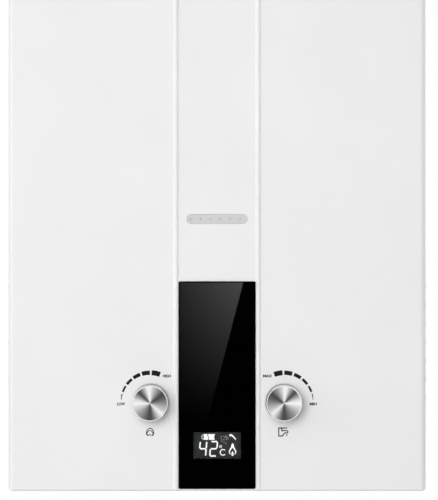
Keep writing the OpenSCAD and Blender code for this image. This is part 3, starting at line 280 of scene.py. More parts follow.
def threaded_stub(node):
    """A stub turned as rings from its lower end up the outside, then back down the bore."""
    low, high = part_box(node)
    axis_x, axis_y = (low[0] + high[0]) / 2, (low[1] + high[1]) / 2
    shoulder = (high[0] - low[0]) / 2
    crest = shoulder - shoulder_step
    turns = int(thread_length / thread_pitch * steps_per_turn)
    heights = [thread_start + thread_length * i / turns for i in range(turns + 1)]
    rings = [(0.0, lambda turn: crest - stub_rim)]
    rings += [(h, lambda turn, h=h: thread_radius(crest, h, turn)) for h in heights]
    rings += [(neck_low, lambda turn: crest - neck_cut), (stub_shoulder, lambda turn: crest - neck_cut),
              (stub_shoulder, lambda turn: shoulder), (high[2] - low[2], lambda turn: shoulder),
              (high[2] - low[2], lambda turn: stub_bore), (0.0, lambda turn: stub_bore)]
    form = bmesh.new()
    loops = []
    for height, radius in rings:
        loop = []
        for step in range(steps_round):
            turn = step / steps_round
            angle, r = 2 * math.pi * turn, radius(turn)
            loop.append(form.verts.new((axis_x + r * math.cos(angle), axis_y + r * math.sin(angle),
                                        low[2] + height)))
        loops.append(loop)
    for ring, loop in enumerate(loops):
        skin_rings(form, loop, loops[(ring + 1) % len(loops)])
    piece = new_piece(node + "_threaded", form, brass, "casing")
    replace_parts(piece, node)


for stub in ("gas_inlet", "cold_inlet", "hot_outlet"):
    threaded_stub(stub)

# Return spring: hard steel wire wound to a coil, set between the gas valve's end wall and the
# poppet on the push rod. It shortens towards the wall as the rod slides.

spring_turns = 6
spring_wire = 1.4 * mm
steps_per_coil = 24
wire_sides = 10

spring_low, spring_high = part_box("return_spring")
spring_middle = Vector([(low + high) / 2 for low, high in zip(spring_low, spring_high)])
spring_radius = (spring_high[1] - spring_low[1] - spring_wire) / 2
spring_long = spring_high[0] - spring_low[0]


def coil_place(turn):
    """Middle of the wire after this many turns, and the way straight out from the coil's axis."""
    out = Vector((0, math.cos(2 * math.pi * turn), math.sin(2 * math.pi * turn)))
    along = (spring_long - spring_wire) * (turn / spring_turns - 0.5)
    return spring_middle + Vector((along, 0, 0)) + spring_radius * out, out


coil = bmesh.new()
coil_loops = []
wire_angles = [2 * math.pi * side / wire_sides for side in range(wire_sides)]
for step in range(spring_turns * steps_per_coil + 1):
    wire_middle, out = coil_place(step / steps_per_coil)
    wire_before = coil_place((step - 1) / steps_per_coil)[0]
    wire_after = coil_place((step + 1) / steps_per_coil)[0]
    across = (wire_after - wire_before).normalized().cross(out)
    spokes = [out * math.cos(angle) + across * math.sin(angle) for angle in wire_angles]
    coil_loops.append([coil.verts.new(wire_middle + spring_wire / 2 * spoke) for spoke in spokes])
for behind, ahead in zip(coil_loops, coil_loops[1:]):
    skin_rings(coil, behind, ahead)
coil.faces.new(coil_loops[0])
coil.faces.new(coil_loops[-1])
return_coil = new_piece("return_coil", coil, bright_steel, "casing")
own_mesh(return_coil)
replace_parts(return_coil, "return_spring")

# Diaphragm and drain seal: moulded black rubber, dull, with a fine grain. The diaphragm is clamped
# between the water valve and its cover, and the seal sits under the drain plug.

rubber = new_finish("moulded_rubber", roughness=0.75)
tint(rubber, (0.018, 0.018, 0.019), (0.040, 0.040, 0.042), cloud(rubber, 4 * mm))
relief(rubber, cloud(rubber, 0.8 * mm), 0.03 * mm)
dress(rubber, "diaphragm", "drain_seal")

# Microswitch, overheat switch, outlet sensor and coil: housings of black moulded plastic with a
# fine grain, screwed or clipped on. A red button stands out of the microswitch.

black_plastic = new_finish("black_moulding", roughness=0.45)
tint(black_plastic, (0.022, 0.022, 0.024), (0.045, 0.045, 0.048), cloud(black_plastic, 5 * mm))
relief(black_plastic, cloud(black_plastic, 0.7 * mm), 0.03 * mm)
dress(black_plastic, "microswitch", "overheat_switch", "outlet_sensor", "gas_solenoid")

red_plastic = new_finish("red_button", roughness=0.35)
tint(red_plastic, (0.48, 0.03, 0.025), (0.62, 0.05, 0.04), cloud(red_plastic, 2 * mm))
dress(red_plastic, "switch_button")

# Ignition box, battery box and battery lid: white moulded plastic with a light spark-eroded
# grain. The lid hangs on a steel pin through its knuckle and shuts with a tab.

white_plastic = new_finish("white_moulding", roughness=0.5)
tint(white_plastic, (0.72, 0.72, 0.70), (0.80, 0.80, 0.78), cloud(white_plastic, 14 * mm))
gloss(white_plastic, 0.42, 0.56, cloud(white_plastic, 2 * mm))
relief(white_plastic, cloud(white_plastic, 0.6 * mm), 0.04 * mm)
dress(white_plastic, "ignition_box", "battery_box", "battery_lid")

# Dry cells: two of them end to end in the battery box, in printed steel jackets left plain and
# dark, between sprung contacts.

cell_sleeve = new_finish("cell_sleeve", metallic=0.6)
tint(cell_sleeve, (0.10, 0.10, 0.11), (0.20, 0.20, 0.21), cloud(cell_sleeve, 10 * mm))
gloss(cell_sleeve, 0.25, 0.4, cloud(cell_sleeve, 5 * mm))
dress(cell_sleeve, "batteries")

# Leads: stranded wire in a red silicone cover that stands the heat. They run from the ignition
# box to the two electrodes, the battery box and the display.

silicone = new_finish("red_silicone", roughness=0.6)
tint(silicone, (0.40, 0.04, 0.035), (0.55, 0.07, 0.06), cloud(silicone, 6 * mm))
relief(silicone, cloud(silicone, 1 * mm), 0.02 * mm)
dress(silicone, "wiring")

# Front cover: one deep-drawn sheet with louvred sides and two pressed beads, stove-enamelled
# white. The enamel has a faint orange peel and an even low gloss.

enamel = new_finish("white_enamel", roughness=0.45)
tint(enamel, (0.840, 0.840, 0.840), (0.860, 0.860, 0.860), cloud(enamel, 60 * mm))
gloss(enamel, 0.42, 0.48, cloud(enamel, 25 * mm))
relief(enamel, cloud(enamel, 2.5 * mm, detail=1.0), 0.012 * mm)
shader_input(enamel, "Specular IOR Level").default_value = 0.25
dress(enamel, "front_cover")

# Cover screws: four zinc-plated pan heads with a cross recess, two on each side. They pass
# through the cover into the rims of the top and bottom plates.

plated_screw = new_finish("plated_screw", metallic=1.0)
tint(plated_screw, (0.60, 0.61, 0.62), (0.72, 0.72, 0.73), cloud(plated_screw, 3 * mm))
gloss(plated_screw, 0.2, 0.34, cloud(plated_screw, 1 * mm))

screws_low, screws_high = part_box("cover_screws")
head_high = 2.6 * mm
head_radius = (screws_high[1] - screws_low[1]) / 2
screw_seat = screws_high[0] - head_high
screw_profile = [(1.2 * mm, -8.0 * mm), (2.0 * mm, -7.0 * mm), (2.0 * mm, 0.0),
                 (head_radius, 0.0), (head_radius, 1.2 * mm), (3.7 * mm, 1.9 * mm),
                 (3.2 * mm, 2.4 * mm), (2.6 * mm, head_high)]
screw_steps = 40
recess_deep = 1.3 * mm
mouth_reach = 2.0 * mm
mouth_width = 1.1 * mm
recess_reach = 1.1 * mm
recess_width = 0.7 * mm


def cross_outline(reach, width):
    """The twelve corners of a cross, in order round it."""
    arm = [(reach, -width / 2), (reach, width / 2), (width / 2, width / 2)]
    turns = [(1, 0), (0, 1), (-1, 0), (0, -1)]
    return [(u * c - v * s, u * s + v * c) for c, s in turns for u, v in arm]


def cross_screw(form, side, axis_y, axis_z):
    """Adds one screw on the cover's left (-1) or right (1) side."""
    def ring(points, out):
        return [form.verts.new((side * (screw_seat + out), axis_y + u, axis_z + v)) for u, v in points]

    angles = [2 * math.pi * i / screw_steps for i in range(screw_steps)]
    rings = [ring([(r * math.cos(a), r * math.sin(a)) for a in angles], out) for r, out in screw_profile]
    form.faces.new(rings[0])
    for below, above in zip(rings, rings[1:]):
        skin_rings(form, below, above)
    mouth = ring(cross_outline(mouth_reach, mouth_width), head_high)
    recess = ring(cross_outline(recess_reach, recess_width), head_high - recess_deep)
    skin_rings(form, mouth, recess)
    form.faces.new(recess)
    rims = [(loop[i - 1], loop[i]) for loop in (rings[-1], mouth) for i in range(len(loop))]
    bmesh.ops.triangle_fill(form, use_beauty=True, edges=[form.edges.get(pair) for pair in rims])


screws = bmesh.new()
for screw_side in (-1, 1):
    for screw_z in (screws_low[2] + head_radius, screws_high[2] - head_radius):
        cross_screw(screws, screw_side, (screws_low[1] + screws_high[1]) / 2, screw_z)
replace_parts(new_piece("cover_screws_crossed", screws, plated_screw, "casing"), "cover_screws")

# Printed scales, words and signs round the knobs: dark ink screened on the enamel. Each scale
# is six bars on an arc that thin out from the strong end to the weak end.

bead_high = 1.0 * mm
cover_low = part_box("front_cover")[0]
case_foot = cover_low[2]
panel_y = cover_low[1] + bead_high
ink_thick = 0.04 * mm
sharpest_mitre = 0.5
scale_radius = 23.0 * mm
scale_shift = 0.5 * mm
bar_count = 6
bar_bend_steps = 8
first_bar_angle = 78.6
bar_step = 20.2
step_loss = 0.36
first_bar_width = 16.8
width_loss = 0.9
first_bar_thick = 4.0 * mm
thick_loss = 0.6 * mm
tail_share = 0.3

ink = new_finish("screen_ink", roughness=0.7)
tint(ink, (0.010, 0.006, 0.006), (0.018, 0.011, 0.011), cloud(ink, 1.5 * mm))
shader_input(ink, "Specular IOR Level").default_value = 0.15


def flat_form(form, points, faces, back_y, thick):
    """Adds a flat shape of (x, z) points to a form, thickened towards the front."""
    back = [form.verts.new((x, back_y, z)) for x, z in points]
    front = [form.verts.new((x, back_y - thick, z)) for x, z in points]
    for face in faces:
        form.faces.new([back[i] for i in face])
        form.faces.new([front[i] for i in face])
    edges = [edge for face in faces for edge in zip(face, [*face[1:], face[0]])]
    for i, j in edges:
        if (j, i) not in edges:
            form.faces.new((back[i], back[j], front[j], front[i]))


def ribbon(points, widths, closed=False):
    """A line of given widths as (points, faces): left and right edges, mitred at each point."""
    count = len(points)
    left, right = [], []
    for i, here in enumerate(points):
        into = points[i] if closed or i > 0 else points[1]
        start = points[i - 1] if closed or i > 0 else here
        after = points[(i + 1) % count] if closed or i < count - 1 else into
        coming = (Vector(into) - Vector(start)).normalized()
        going = (Vector(after) - Vector(here)).normalized() if after != here else coming
        along = (coming + going).normalized()
        aside = Vector((-along.y, along.x)) * widths[i] / 2 / max(sharpest_mitre, along.dot(coming))
        left.append(tuple(Vector(here) + aside))
        right.append(tuple(Vector(here) - aside))
    pairs = range(count if closed else count - 1)
    faces = [(i, (i + 1) % count, count + (i + 1) % count, count + i) for i in pairs]
    return left + right, faces


def smooth_path(points, steps=6):
    """A smooth curve through the points."""
    last = len(points) - 1
    path = []
    for i in range(last):
        a, b, c, d = [Vector(points[min(max(i + k, 0), last)]) for k in (-1, 0, 1, 2)]
        for step in range(steps):
            t = step / steps
            path.append(tuple(b + t / 2 * (c - a) + t ** 2 * (a - 2.5 * b + 2 * c - d / 2)
                              + t ** 3 * (1.5 * (b - c) + (d - a) / 2)))
    return path + [tuple(points[-1])]


def arc(centre, radius, start, end, steps):
    """Points on an arc, angles in degrees from +X towards +Z."""
    angles = [math.radians(start + (end - start) * i / steps) for i in range(steps + 1)]
    return [(centre[0] + radius * math.cos(a), centre[1] + radius * math.sin(a)) for a in angles]


def scale_bar(k):
    """Middle angle and width in degrees, and thickness at both ends, of one bar of a scale."""
    middle = first_bar_angle + bar_step * k - step_loss * k ** 2
    width = first_bar_width - width_loss * k
    thick = first_bar_thick - thick_loss * k
    thin_end = thick if k < bar_count - 1 else tail_share * thick
    return middle, width, thick, thin_end


def print_scale(name, centre, side):
    """Six bars round a knob; side is 1 with the strong end on the right, -1 for its mirror."""
    form = bmesh.new()
    for k in range(bar_count):
        middle, width, thick, thin_end = scale_bar(k)
        line = arc((0, 0), scale_radius, middle - width / 2, middle + width / 2, bar_bend_steps)
        line = [(centre[0] + side * (x - scale_shift), centre[1] + z) for x, z in line]
        widths = [thick + (thin_end - thick) * i / bar_bend_steps for i in range(bar_bend_steps + 1)]
        flat_form(form, *ribbon(line, widths), panel_y, ink_thick)
    new_piece(name, form, ink, "casing")


word_stroke = 0.12 * mm
letter_step = 0.96


def print_word(name, word, x, z, size, stretch):
    """A short word printed on the panel, centred at x and z, its letters stretched sideways."""
    letters = bpy.data.curves.new(name, "FONT")
    letters.body = word
    letters.size = size
    letters.align_x = "CENTER"
    letters.align_y = "CENTER"
    letters.extrude = ink_thick / 2
    letters.offset = word_stroke
    letters.space_character = letter_step
    letters.materials.append(ink)
    piece = bpy.data.objects.new(name, letters)
    piece.rotation_euler = (math.pi / 2, 0, 0)
    piece.scale = (stretch, 1, 1)
    piece.location = (x, panel_y - ink_thick / 2, z)
    bpy.context.scene.collection.objects.link(piece)
    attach(piece, "casing")


def knob_axis(node):
    """Where a knob's axis stands on the panel, as (x, z)."""
    low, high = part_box(node)
    return (low[0] + high[0]) / 2, (low[2] + high[2]) / 2


gas_axis = knob_axis("gas_knob")
water_axis = knob_axis("water_knob")
print_scale("gas_scale", gas_axis, 1)
print_scale("water_scale", water_axis, -1)

word_size = 3.05 * mm
strong_word = (12.7 * mm, 20.3 * mm)
weak_word = (-23.6 * mm, -1.8 * mm)
for name, word, axis, side, offset, stretch in (
        ("word_high", "HIGH", gas_axis, 1, strong_word, 0.90),
        ("word_low", "LOW", gas_axis, 1, weak_word, 0.90),
        ("word_max", "MAX", water_axis, -1, strong_word, 1.10),
        ("word_min", "MIN", water_axis, -1, weak_word, 1.05)):
    print_word(name, word, axis[0] + side * offset[0], axis[1] + offset[1], word_size, stretch)

sign_drop = 23.8 * mm
flame_aside = 0.6 * mm


def sign_lines(form, centre, lines, back_y, thick):
    """Adds lines of a sign, each (points, widths, closed) in mm, round a centre."""
    for points, widths, closed in lines:
        line = [(centre[0] + x * mm, centre[1] + z * mm) for x, z in points]
        flat_form(form, *ribbon(line, [width * mm for width in widths], closed), back_y, thick)


def even(path, width, closed=False):
    """A line of one width."""
    return path, [width] * len(path), closed


def swelling(path, start, middle, end):
    """A line that swells or thins towards its middle and its end."""
    shares = [i / (len(path) - 1) for i in range(len(path))]
    return path, [start * (1 - t) ** 2 + middle * 2 * t * (1 - t) + end * t ** 2 for t in shares], False


def both_sides(half):
    """A line up the left of a sign, carried on down the right as its mirror."""
    return half + [(-x, z) for x, z in reversed(half) if x != 0]


flame_outer = smooth_path(both_sides([(-1.3, -3.0), (-2.6, -1.8), (-2.7, 0.0), (-1.8, 1.9), (0.0, 3.0)]))
flame_inner = smooth_path(both_sides([(-2.1, -0.9), (-1.6, 0.0), (-0.8, 0.9), (0.0, 1.2)]))
flame_stem = [(0, -3.1), (0, -1.3)]
flame_sign = bmesh.new()
sign_lines(flame_sign, (gas_axis[0] - flame_aside, gas_axis[1] - sign_drop),
           [swelling(flame_outer, start=1.2, middle=0.2, end=1.2), even(flame_inner, width=0.6),
            even(flame_stem, width=0.75)], panel_y, ink_thick)
new_piece("flame_sign", flame_sign, ink, "casing")

tap_spout = smooth_path([(0.2, -1.7), (0.8, -1.0), (1.6, -0.7), (2.7, -0.8), (3.4, -0.4), (3.4, 0.6),
                         (2.7, 1.0)])
tap_body = [(2.9, 3.1), (-3.7, 3.1), (-3.7, -3.2), (-0.7, -3.2)] + tap_spout + [(-1.3, 1.0), (-1.3, 3.1)]
tap_drop = [(2.6, -1.7), (2.6, -3.1)]
tap_sign = bmesh.new()
sign_lines(tap_sign, (water_axis[0], water_axis[1] - sign_drop),
           [even(tap_body, width=0.85), even(tap_drop, width=0.85)], panel_y, ink_thick)
new_piece("tap_sign", tap_sign, ink, "casing")

# Flame window: a pale grey translucent insert that snaps into a slot in the cover, with a row of six
# dimples. Its grey darkens with depth behind the front face, which paints shade into the dimples.

window_sunk = 0.4 * mm
window_front = panel_y + window_sunk
dimple_deep = 1.0 * mm
mottle_share = 0.15


def depth_into(finish, start_y, depth):
    """Runs from 0 at a front face to 1 at this depth behind it."""
    split = add_node(finish, "ShaderNodeSeparateXYZ")
    join(finish, place_on_part(finish, centre=(0, start_y, 0), stretch=(1, 1 / depth, 1)),
         split.inputs["Vector"])
    return split.outputs["Y"]


window_plastic = new_finish("grey_window", roughness=0.3)
# Painted shade: the colour darkens with depth, so the dimples are painted darker; the cloud adds the
# plastic's own mottling.
mottle_and_dimple_shade = add_node(window_plastic, "ShaderNodeMath", operation="MULTIPLY_ADD")
mottle_and_dimple_shade.inputs[1].default_value = mottle_share
join(window_plastic, cloud(window_plastic, 12 * mm), mottle_and_dimple_shade.inputs[0])
join(window_plastic, depth_into(window_plastic, window_front, dimple_deep), mottle_and_dimple_shade.inputs[2])
tint(window_plastic, (0.625, 0.625, 0.625), (0.46, 0.46, 0.46), mottle_and_dimple_shade.outputs["Value"], 0.0, 1.0)
gloss(window_plastic, 0.26, 0.36, cloud(window_plastic, 4 * mm))
dress(window_plastic, "flame_window")

# Display: a dark panel behind the glass. Its bright digits, battery, shower and flame are lit
# segments, raised a hair in front of the panel.

display_low, display_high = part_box("display_module")
display_up = 36.0 * mm
display_centre = ((display_low[0] + display_high[0]) / 2, case_foot + display_up)
segment_thick = 0.05 * mm
segment_lift = 0.02 * mm
segment_y = display_low[1] - segment_lift

display_dark = new_finish("display_panel", roughness=0.7)
shader_input(display_dark, "Specular IOR Level").default_value = 0.1
tint(display_dark, (0.100, 0.100, 0.101), (0.115, 0.115, 0.116), cloud(display_dark, 6 * mm))
dress(display_dark, "display_module")

lit_segment = new_finish("lit_segment", roughness=0.5)
tint(lit_segment, (0.80, 0.80, 0.80), (0.86, 0.86, 0.86), cloud(lit_segment, 3 * mm))
shader_input(lit_segment, "Emission Color").default_value = (1, 1, 1, 1)
shader_input(lit_segment, "Emission Strength").default_value = 1.0

digit_wide = 5.1
digit_high = 11.4
digit_bar = 1.15
digit_lean = 0.087
digit_gap = 0.35
segment_ends = {"a": ((0, 1), (1, 1)), "b": ((1, 1), (1, 0.5)), "c": ((1, 0.5), (1, 0)),
                "d": ((0, 0), (1, 0)), "e": ((0, 0.5), (0, 0)), "f": ((0, 1), (0, 0.5)),
                "g": ((0, 0.5), (1, 0.5))}
lit_four = "bcfg"
lit_two = "abdeg"
four_x = -11.2
two_x = -2.75
digits_z = -2.7


def digit_lines(lit, x, z):
    """The lit bars of one leaning seven-bar digit, centred at x and z, in mm."""
    lines = []
    for bar in lit:
        ends = []
        (u0, v0), (u1, v1) = segment_ends[bar]
        for u, v, ou, ov in ((u0, v0, u1, v1), (u1, v1, u0, v0)):
            px, pz = (u - 0.5) * digit_wide, (v - 0.5) * digit_high
            px += digit_gap * (ou - u)
            pz += digit_gap * 2 * (ov - v)
            ends.append((x + px + digit_lean * pz, z + pz))
        lines.append(even(ends, digit_bar))
    return lines


degree_ring = arc((2.75, -0.9), radius=0.9, start=0, end=337.5, steps=15)
letter_c = arc((4.7, -5.5), radius=2.25, start=45, end=315, steps=18)
battery_cap = smooth_path([(-10.6, 8.6), (-11.8, 7.8), (-12.1, 6.6), (-11.8, 5.5), (-10.6, 4.7)])
display_flame = smooth_path([(10.5, -7.0), (9.6, -5.2), (10.6, -3.0), (11.7, -1.3), (12.2, 0.7),
                             (12.8, -1.3), (13.8, -3.0), (14.8, -5.2), (13.9, -7.0)])
flame_seed = smooth_path([(12.2, -8.3), (12.2, -7.1), (12.2, -5.9), (12.2, -4.7)])
shower_arm = smooth_path([(9.9, 7.5), (11.0, 8.2), (12.4, 7.2), (14.8, 4.6)])
battery_blocks = ([(-10.5, 4.4), (-7.0, 4.4), (-7.8, 8.9), (-10.5, 8.9)],
                  [(-6.4, 4.4), (-1.9, 4.4), (-2.5, 6.7), (-1.7, 8.9), (-7.2, 8.9)])
spray_from = (9.9, 7.6)
spray_rays = ((187, (2.2, 4.6, 6.4)), (200, (3.4, 6.6)), (214, (2.0, 5.2, 7.0)),
              (229, (3.4, 6.4)), (245, (2.2, 6.4)))
spray_long = 0.8
spray_thick = 0.3
lines = digit_lines(lit_four, four_x, digits_z) + digit_lines(lit_two, two_x, digits_z)
lines += [even(degree_ring, width=0.45, closed=True), even(letter_c, width=0.75),
          even(battery_cap, width=0.4), swelling(display_flame, start=0.5, middle=2.1, end=0.5),
          swelling(flame_seed, start=1.2, middle=2.6, end=0.2),
          swelling(shower_arm, start=1.8, middle=1.4, end=0.8)]
for turn, reaches in spray_rays:
    ray = Vector((math.cos(math.radians(turn)), math.sin(math.radians(turn))))
    for reach in reaches:
        dash = [tuple(Vector(spray_from) + ray * r) for r in (reach, reach + spray_long)]
        lines.append(even(dash, spray_thick))

segments = bmesh.new()
sign_lines(segments, display_centre, lines, segment_y, segment_thick)
for block in battery_blocks:
    corners = [(display_centre[0] + x * mm, display_centre[1] + z * mm) for x, z in block]
    flat_form(segments, corners, [range(len(corners))], segment_y, segment_thick)
new_piece("display_segments", segments, lit_segment, "casing")

# Glass strip: toughened glass with a ground front edge, let into a pocket of the cover. Black
# print on its back shows through all of it as deep gloss black, but for the clear display window.

glass_low, glass_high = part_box("glass_panel")
pane_half = (19.0 * mm, 10.7 * mm)
glass_corner = 1.0 * mm
ground_edge = 0.3 * mm
corner_steps = 6

printed_glass = new_finish("black_printed_glass", roughness=0.02)
tint(printed_glass, (0.0, 0.0, 0.0), (0.0006, 0.0006, 0.0006), cloud(printed_glass, 8 * mm))
gloss(printed_glass, 0.0, 0.02, cloud(printed_glass, 15 * mm))

clear_pane = new_finish("clear_display_pane", roughness=0.0)
shader_input(clear_pane, "Transmission Weight").default_value = 1.0
shader_input(clear_pane, "IOR").default_value = 1.5
tint(clear_pane, (0.78, 0.79, 0.80), (0.82, 0.83, 0.84), cloud(clear_pane, 30 * mm))


def glass_ring(form, inset, y):
    """Rounded outline of the strip, with two points on each side level with the pane's edges."""
    x0, x1 = glass_low[0] + inset, glass_high[0] - inset
    z0, z1 = glass_low[2] + inset, glass_high[2] - inset
    foot, head = [display_centre[1] + s * pane_half[1] for s in (-1, 1)]
    r = glass_corner - inset
    points = arc((x1 - r, z0 + r), r, -90, 0, corner_steps) + [(x1, foot), (x1, head)]
    points += arc((x1 - r, z1 - r), r, 0, 90, corner_steps)
    points += arc((x0 + r, z1 - r), r, 90, 180, corner_steps)
    points += [(x0, head), (x0, foot)] + arc((x0 + r, z0 + r), r, 180, 270, corner_steps)
    return [form.verts.new((x, y, z)) for x, z in points]


def glass_side(form, ring, y):
    """Closes the front or the back: printed glass round the clear pane."""
    corners = [(display_centre[0] + s * pane_half[0], display_centre[1] + t * pane_half[1])
               for s, t in ((-1, -1), (1, -1), (1, 1), (-1, 1))]
    pane = [form.verts.new((x, y, z)) for x, z in corners]
    right_foot = corner_steps + 1
    right_head = right_foot + 1
    left_head = right_head + 2 * (corner_steps + 1) + 1
    left_foot = left_head + 1
    form.faces.new(ring[left_foot:] + ring[:right_foot + 1] + [pane[1], pane[0]])
    form.faces.new([ring[right_foot], ring[right_head], pane[2], pane[1]])
    form.faces.new(ring[right_head:left_head + 1] + [pane[3], pane[2]])
    form.faces.new([ring[left_head], ring[left_foot], pane[0], pane[3]])
    form.faces.new(pane).material_index = 1


strip = bmesh.new()
strip_back = glass_ring(strip, 0.0, glass_high[1])
strip_edge = glass_ring(strip, 0.0, glass_low[1] + ground_edge)
strip_front = glass_ring(strip, ground_edge, glass_low[1])
skin_rings(strip, strip_back, strip_edge)
skin_rings(strip, strip_edge, strip_front)
glass_side(strip, strip_back, glass_high[1])
glass_side(strip, strip_front, glass_low[1])
glass_strip = new_piece("glass_strip", strip, printed_glass, "casing")
glass_strip.data.materials.append(clear_pane)
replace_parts(glass_strip, "glass_panel")

# Knobs: moulded bodies plated bright round the rim and satin on the side, the side's colour darkened as
# painted shade, each with a spun disc.
# The disc is turned in fine rings; the light and dark rays that fan out from its middle are a painted
# reflection in its colour.

chrome = new_finish("bright_plating", metallic=1.0)
rim_deep = 1.4 * mm
side_fade = 0.56 * mm
side_shade_and_satin = depth_into(chrome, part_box("gas_knob")[0][1] + rim_deep, side_fade)
# Painted shade: the side's colour darkens from the rim back; its rising roughness is the satin plating.
tint(chrome, (0.86, 0.86, 0.87), (0.26, 0.26, 0.27), side_shade_and_satin, 0.0, 1.0)
gloss(chrome, 0.10, 0.30, side_shade_and_satin, 0.0, 1.0)
relief(chrome, cloud(chrome, 1.2 * mm), 0.01 * mm)
dress(chrome, "gas_knob", "water_knob")

# Painted reflection: brightness of the disc's colour at each angle round the knob's axis.
painted_ray_stops = ((-180, 0.97), (-165, 0.71), (-135, 0.34), (-110, 0.16), (-96, 0.08), (-84, 0.08),
             (-72, 0.24), (-52, 0.70), (-42, 0.90), (-28, 0.60), (0, 0.29), (20, 0.13), (33, 0.075),
             (42, 0.085), (63, 0.34), (82, 0.70), (89, 0.91), (100, 0.93), (109, 0.60), (119, 0.30),
             (131, 0.085), (138, 0.085), (152, 0.37), (165, 0.73), (180, 0.97))
turning_pitch = 0.25 * mm
wave_radians = 20  # how far a ring wave runs over one unit at scale 1


def spun_face_with_painted_rays(name, node, axis, side):
    """Turned metal with a painted reflection of rays about the knob's axis in its colour; side is -1 for
    the mirrored knob.
    """
    spun = new_finish(name, metallic=1.0, roughness=0.38)
    low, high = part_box(node)
    place = place_on_part(spun, centre=(axis[0], low[1], axis[1]))
    split = add_node(spun, "ShaderNodeSeparateXYZ")
    join(spun, place, split.inputs["Vector"])
    across = add_node(spun, "ShaderNodeMath", operation="MULTIPLY")
    across.inputs[1].default_value = side
    join(spun, split.outputs["X"], across.inputs[0])
    flat = add_node(spun, "ShaderNodeCombineXYZ")
    join(spun, across.outputs["Value"], flat.inputs["X"])
    join(spun, split.outputs["Z"], flat.inputs["Y"])
    fan = add_node(spun, "ShaderNodeTexGradient", gradient_type="RADIAL")
    join(spun, flat.outputs["Vector"], fan.inputs["Vector"])
    # The painted reflection: colour set by angle round the axis.
    painted_rays = add_node(spun, "ShaderNodeValToRGB")
    painted_rays.color_ramp.interpolation = "LINEAR"
    stops = painted_rays.color_ramp.elements
    while len(stops) < len(painted_ray_stops):
        stops.new(0.5)
    for stop, (angle, bright) in zip(stops, painted_ray_stops):
        stop.position = angle / 360 + 0.5
        stop.color = (bright, bright, bright, 1)
    join(spun, fan.outputs["Fac"], painted_rays.inputs["Fac"])
    join(spun, painted_rays.outputs["Color"], shader_input(spun, "Base Color"))
    rings = add_node(spun, "ShaderNodeTexWave", wave_type="RINGS", rings_direction="Z")
    rings.inputs["Scale"].default_value = 2 * math.pi / wave_radians / turning_pitch
    join(spun, flat.outputs["Vector"], rings.inputs["Vector"])
    relief(spun, rings.outputs["Fac"], 0.004 * mm)
    dress(spun, node)


spun_face_with_painted_rays("spun_gas_face_painted_rays", "gas_knob_face", gas_axis, 1)
spun_face_with_painted_rays("spun_water_face_painted_rays", "water_knob_face", water_axis, -1)

# The studio: a pale floor well below the hung heater and a white surround that lights it a little
# from the front left. Two soft lamps stand about the lens and one at each side, above and behind,
# and the glass mirrors a dark card with a soft bright panel on it.

view_distance = 2.0
view_x = 1.5 * mm
view_up = 190.5 * mm
view_z = case_foot + view_up
view_high = 395.2 * mm

camera = bpy.data.cameras.new("front_camera")
camera.sensor_fit = "VERTICAL"
camera.sensor_height = 24.0
camera.lens = camera.sensor_height * view_distance / view_high
eye = bpy.data.objects.new("front_camera", camera)
eye.location = (view_x, panel_y - view_distance, view_z)
eye.rotation_euler = (math.pi / 2, 0, 0)
bpy.context.scene.collection.objects.link(eye)
bpy.context.scene.camera = eye


def soft_light(name, place, aim, wide, high, watts):
    """A flat lamp, wide by high metres, turned to the spot it aims at."""
    lamp = bpy.data.lights.new(name, "AREA")
    lamp.shape = "RECTANGLE"
    lamp.size = wide
    lamp.size_y = high
    lamp.energy = watts
    holder = bpy.data.objects.new(name, lamp)
    holder.location = place
    holder.rotation_euler = (Vector(aim) - Vector(place)).to_track_quat("-Z", "Y").to_euler()
    bpy.context.scene.collection.objects.link(holder)
    return holder


panel_middle = (0, panel_y, -0.1)
front_light = soft_light("front_light", (-0.3, -2.2, 0.1), panel_middle, wide=0.9, high=0.9, watts=25.5)
front_light.visible_glossy = False
front_light.visible_transmission = False
soft_light("broad_light", (-0.4, -2.4, 0.6), panel_middle, wide=2.4, high=2.0, watts=4.5)
soft_light("left_light", (-2.2, -0.55, 0.25), panel_middle, wide=1.0, high=1.4, watts=11)
soft_light("right_light", (1.7, 0.6, 0.6), (0, -0.1, 0), wide=1.0, high=1.4, watts=20)
top_light = soft_light("top_light", (0, 0.35, 2.0), (0, -0.05, 0.27), wide=0.8, high=0.8, watts=8)
top_light.visible_glossy = False
soft_light("back_light", (0.6, 1.8, 1.5), (0, 0, 0), wide=1.4, high=1.4, watts=14)


def seen_as_background(place):
    """1 for the rays that show the surround itself: to the lens, off a mirror or through glass."""
    paths = add_node(place, "ShaderNodeLightPath")
    total = paths.outputs["Is Camera Ray"]
    for kind in ("Is Glossy Ray", "Is Transmission Ray"):
        either = add_node(place, "ShaderNodeMath", operation="MAXIMUM")
        join(place, total, either.inputs[0])
        join(place, paths.outputs[kind], either.inputs[1])
        total = either.outputs["Value"]
    return total


fill_from = (-0.40, -0.86, 0.31)
fill_bright = 0.45
fill_ends = -0.2
surround = bpy.data.worlds.new("white_surround")
surround.use_nodes = True
bpy.context.scene.world = surround
direction = add_node(surround, "ShaderNodeTexCoord")
towards = add_node(surround, "ShaderNodeVectorMath", operation="DOT_PRODUCT")
towards.inputs[1].default_value = fill_from
join(surround, direction.outputs["Generated"], towards.inputs[0])
fill = add_node(surround, "ShaderNodeMapRange")
fill.inputs["From Min"].default_value = fill_ends
fill.inputs["To Max"].default_value = fill_bright
join(surround, towards.outputs["Value"], fill.inputs["Value"])
level = add_node(surround, "ShaderNodeMapRange")
level.inputs["To Max"].default_value = 1.0
join(surround, fill.outputs["Result"], level.inputs["To Min"])
join(surround, seen_as_background(surround), level.inputs["Value"])
join(surround, level.outputs["Result"], surround.node_tree.nodes["Background"].inputs["Strength"])
surround.node_tree.nodes["Background"].inputs["Color"].default_value = (1, 1, 1, 1)


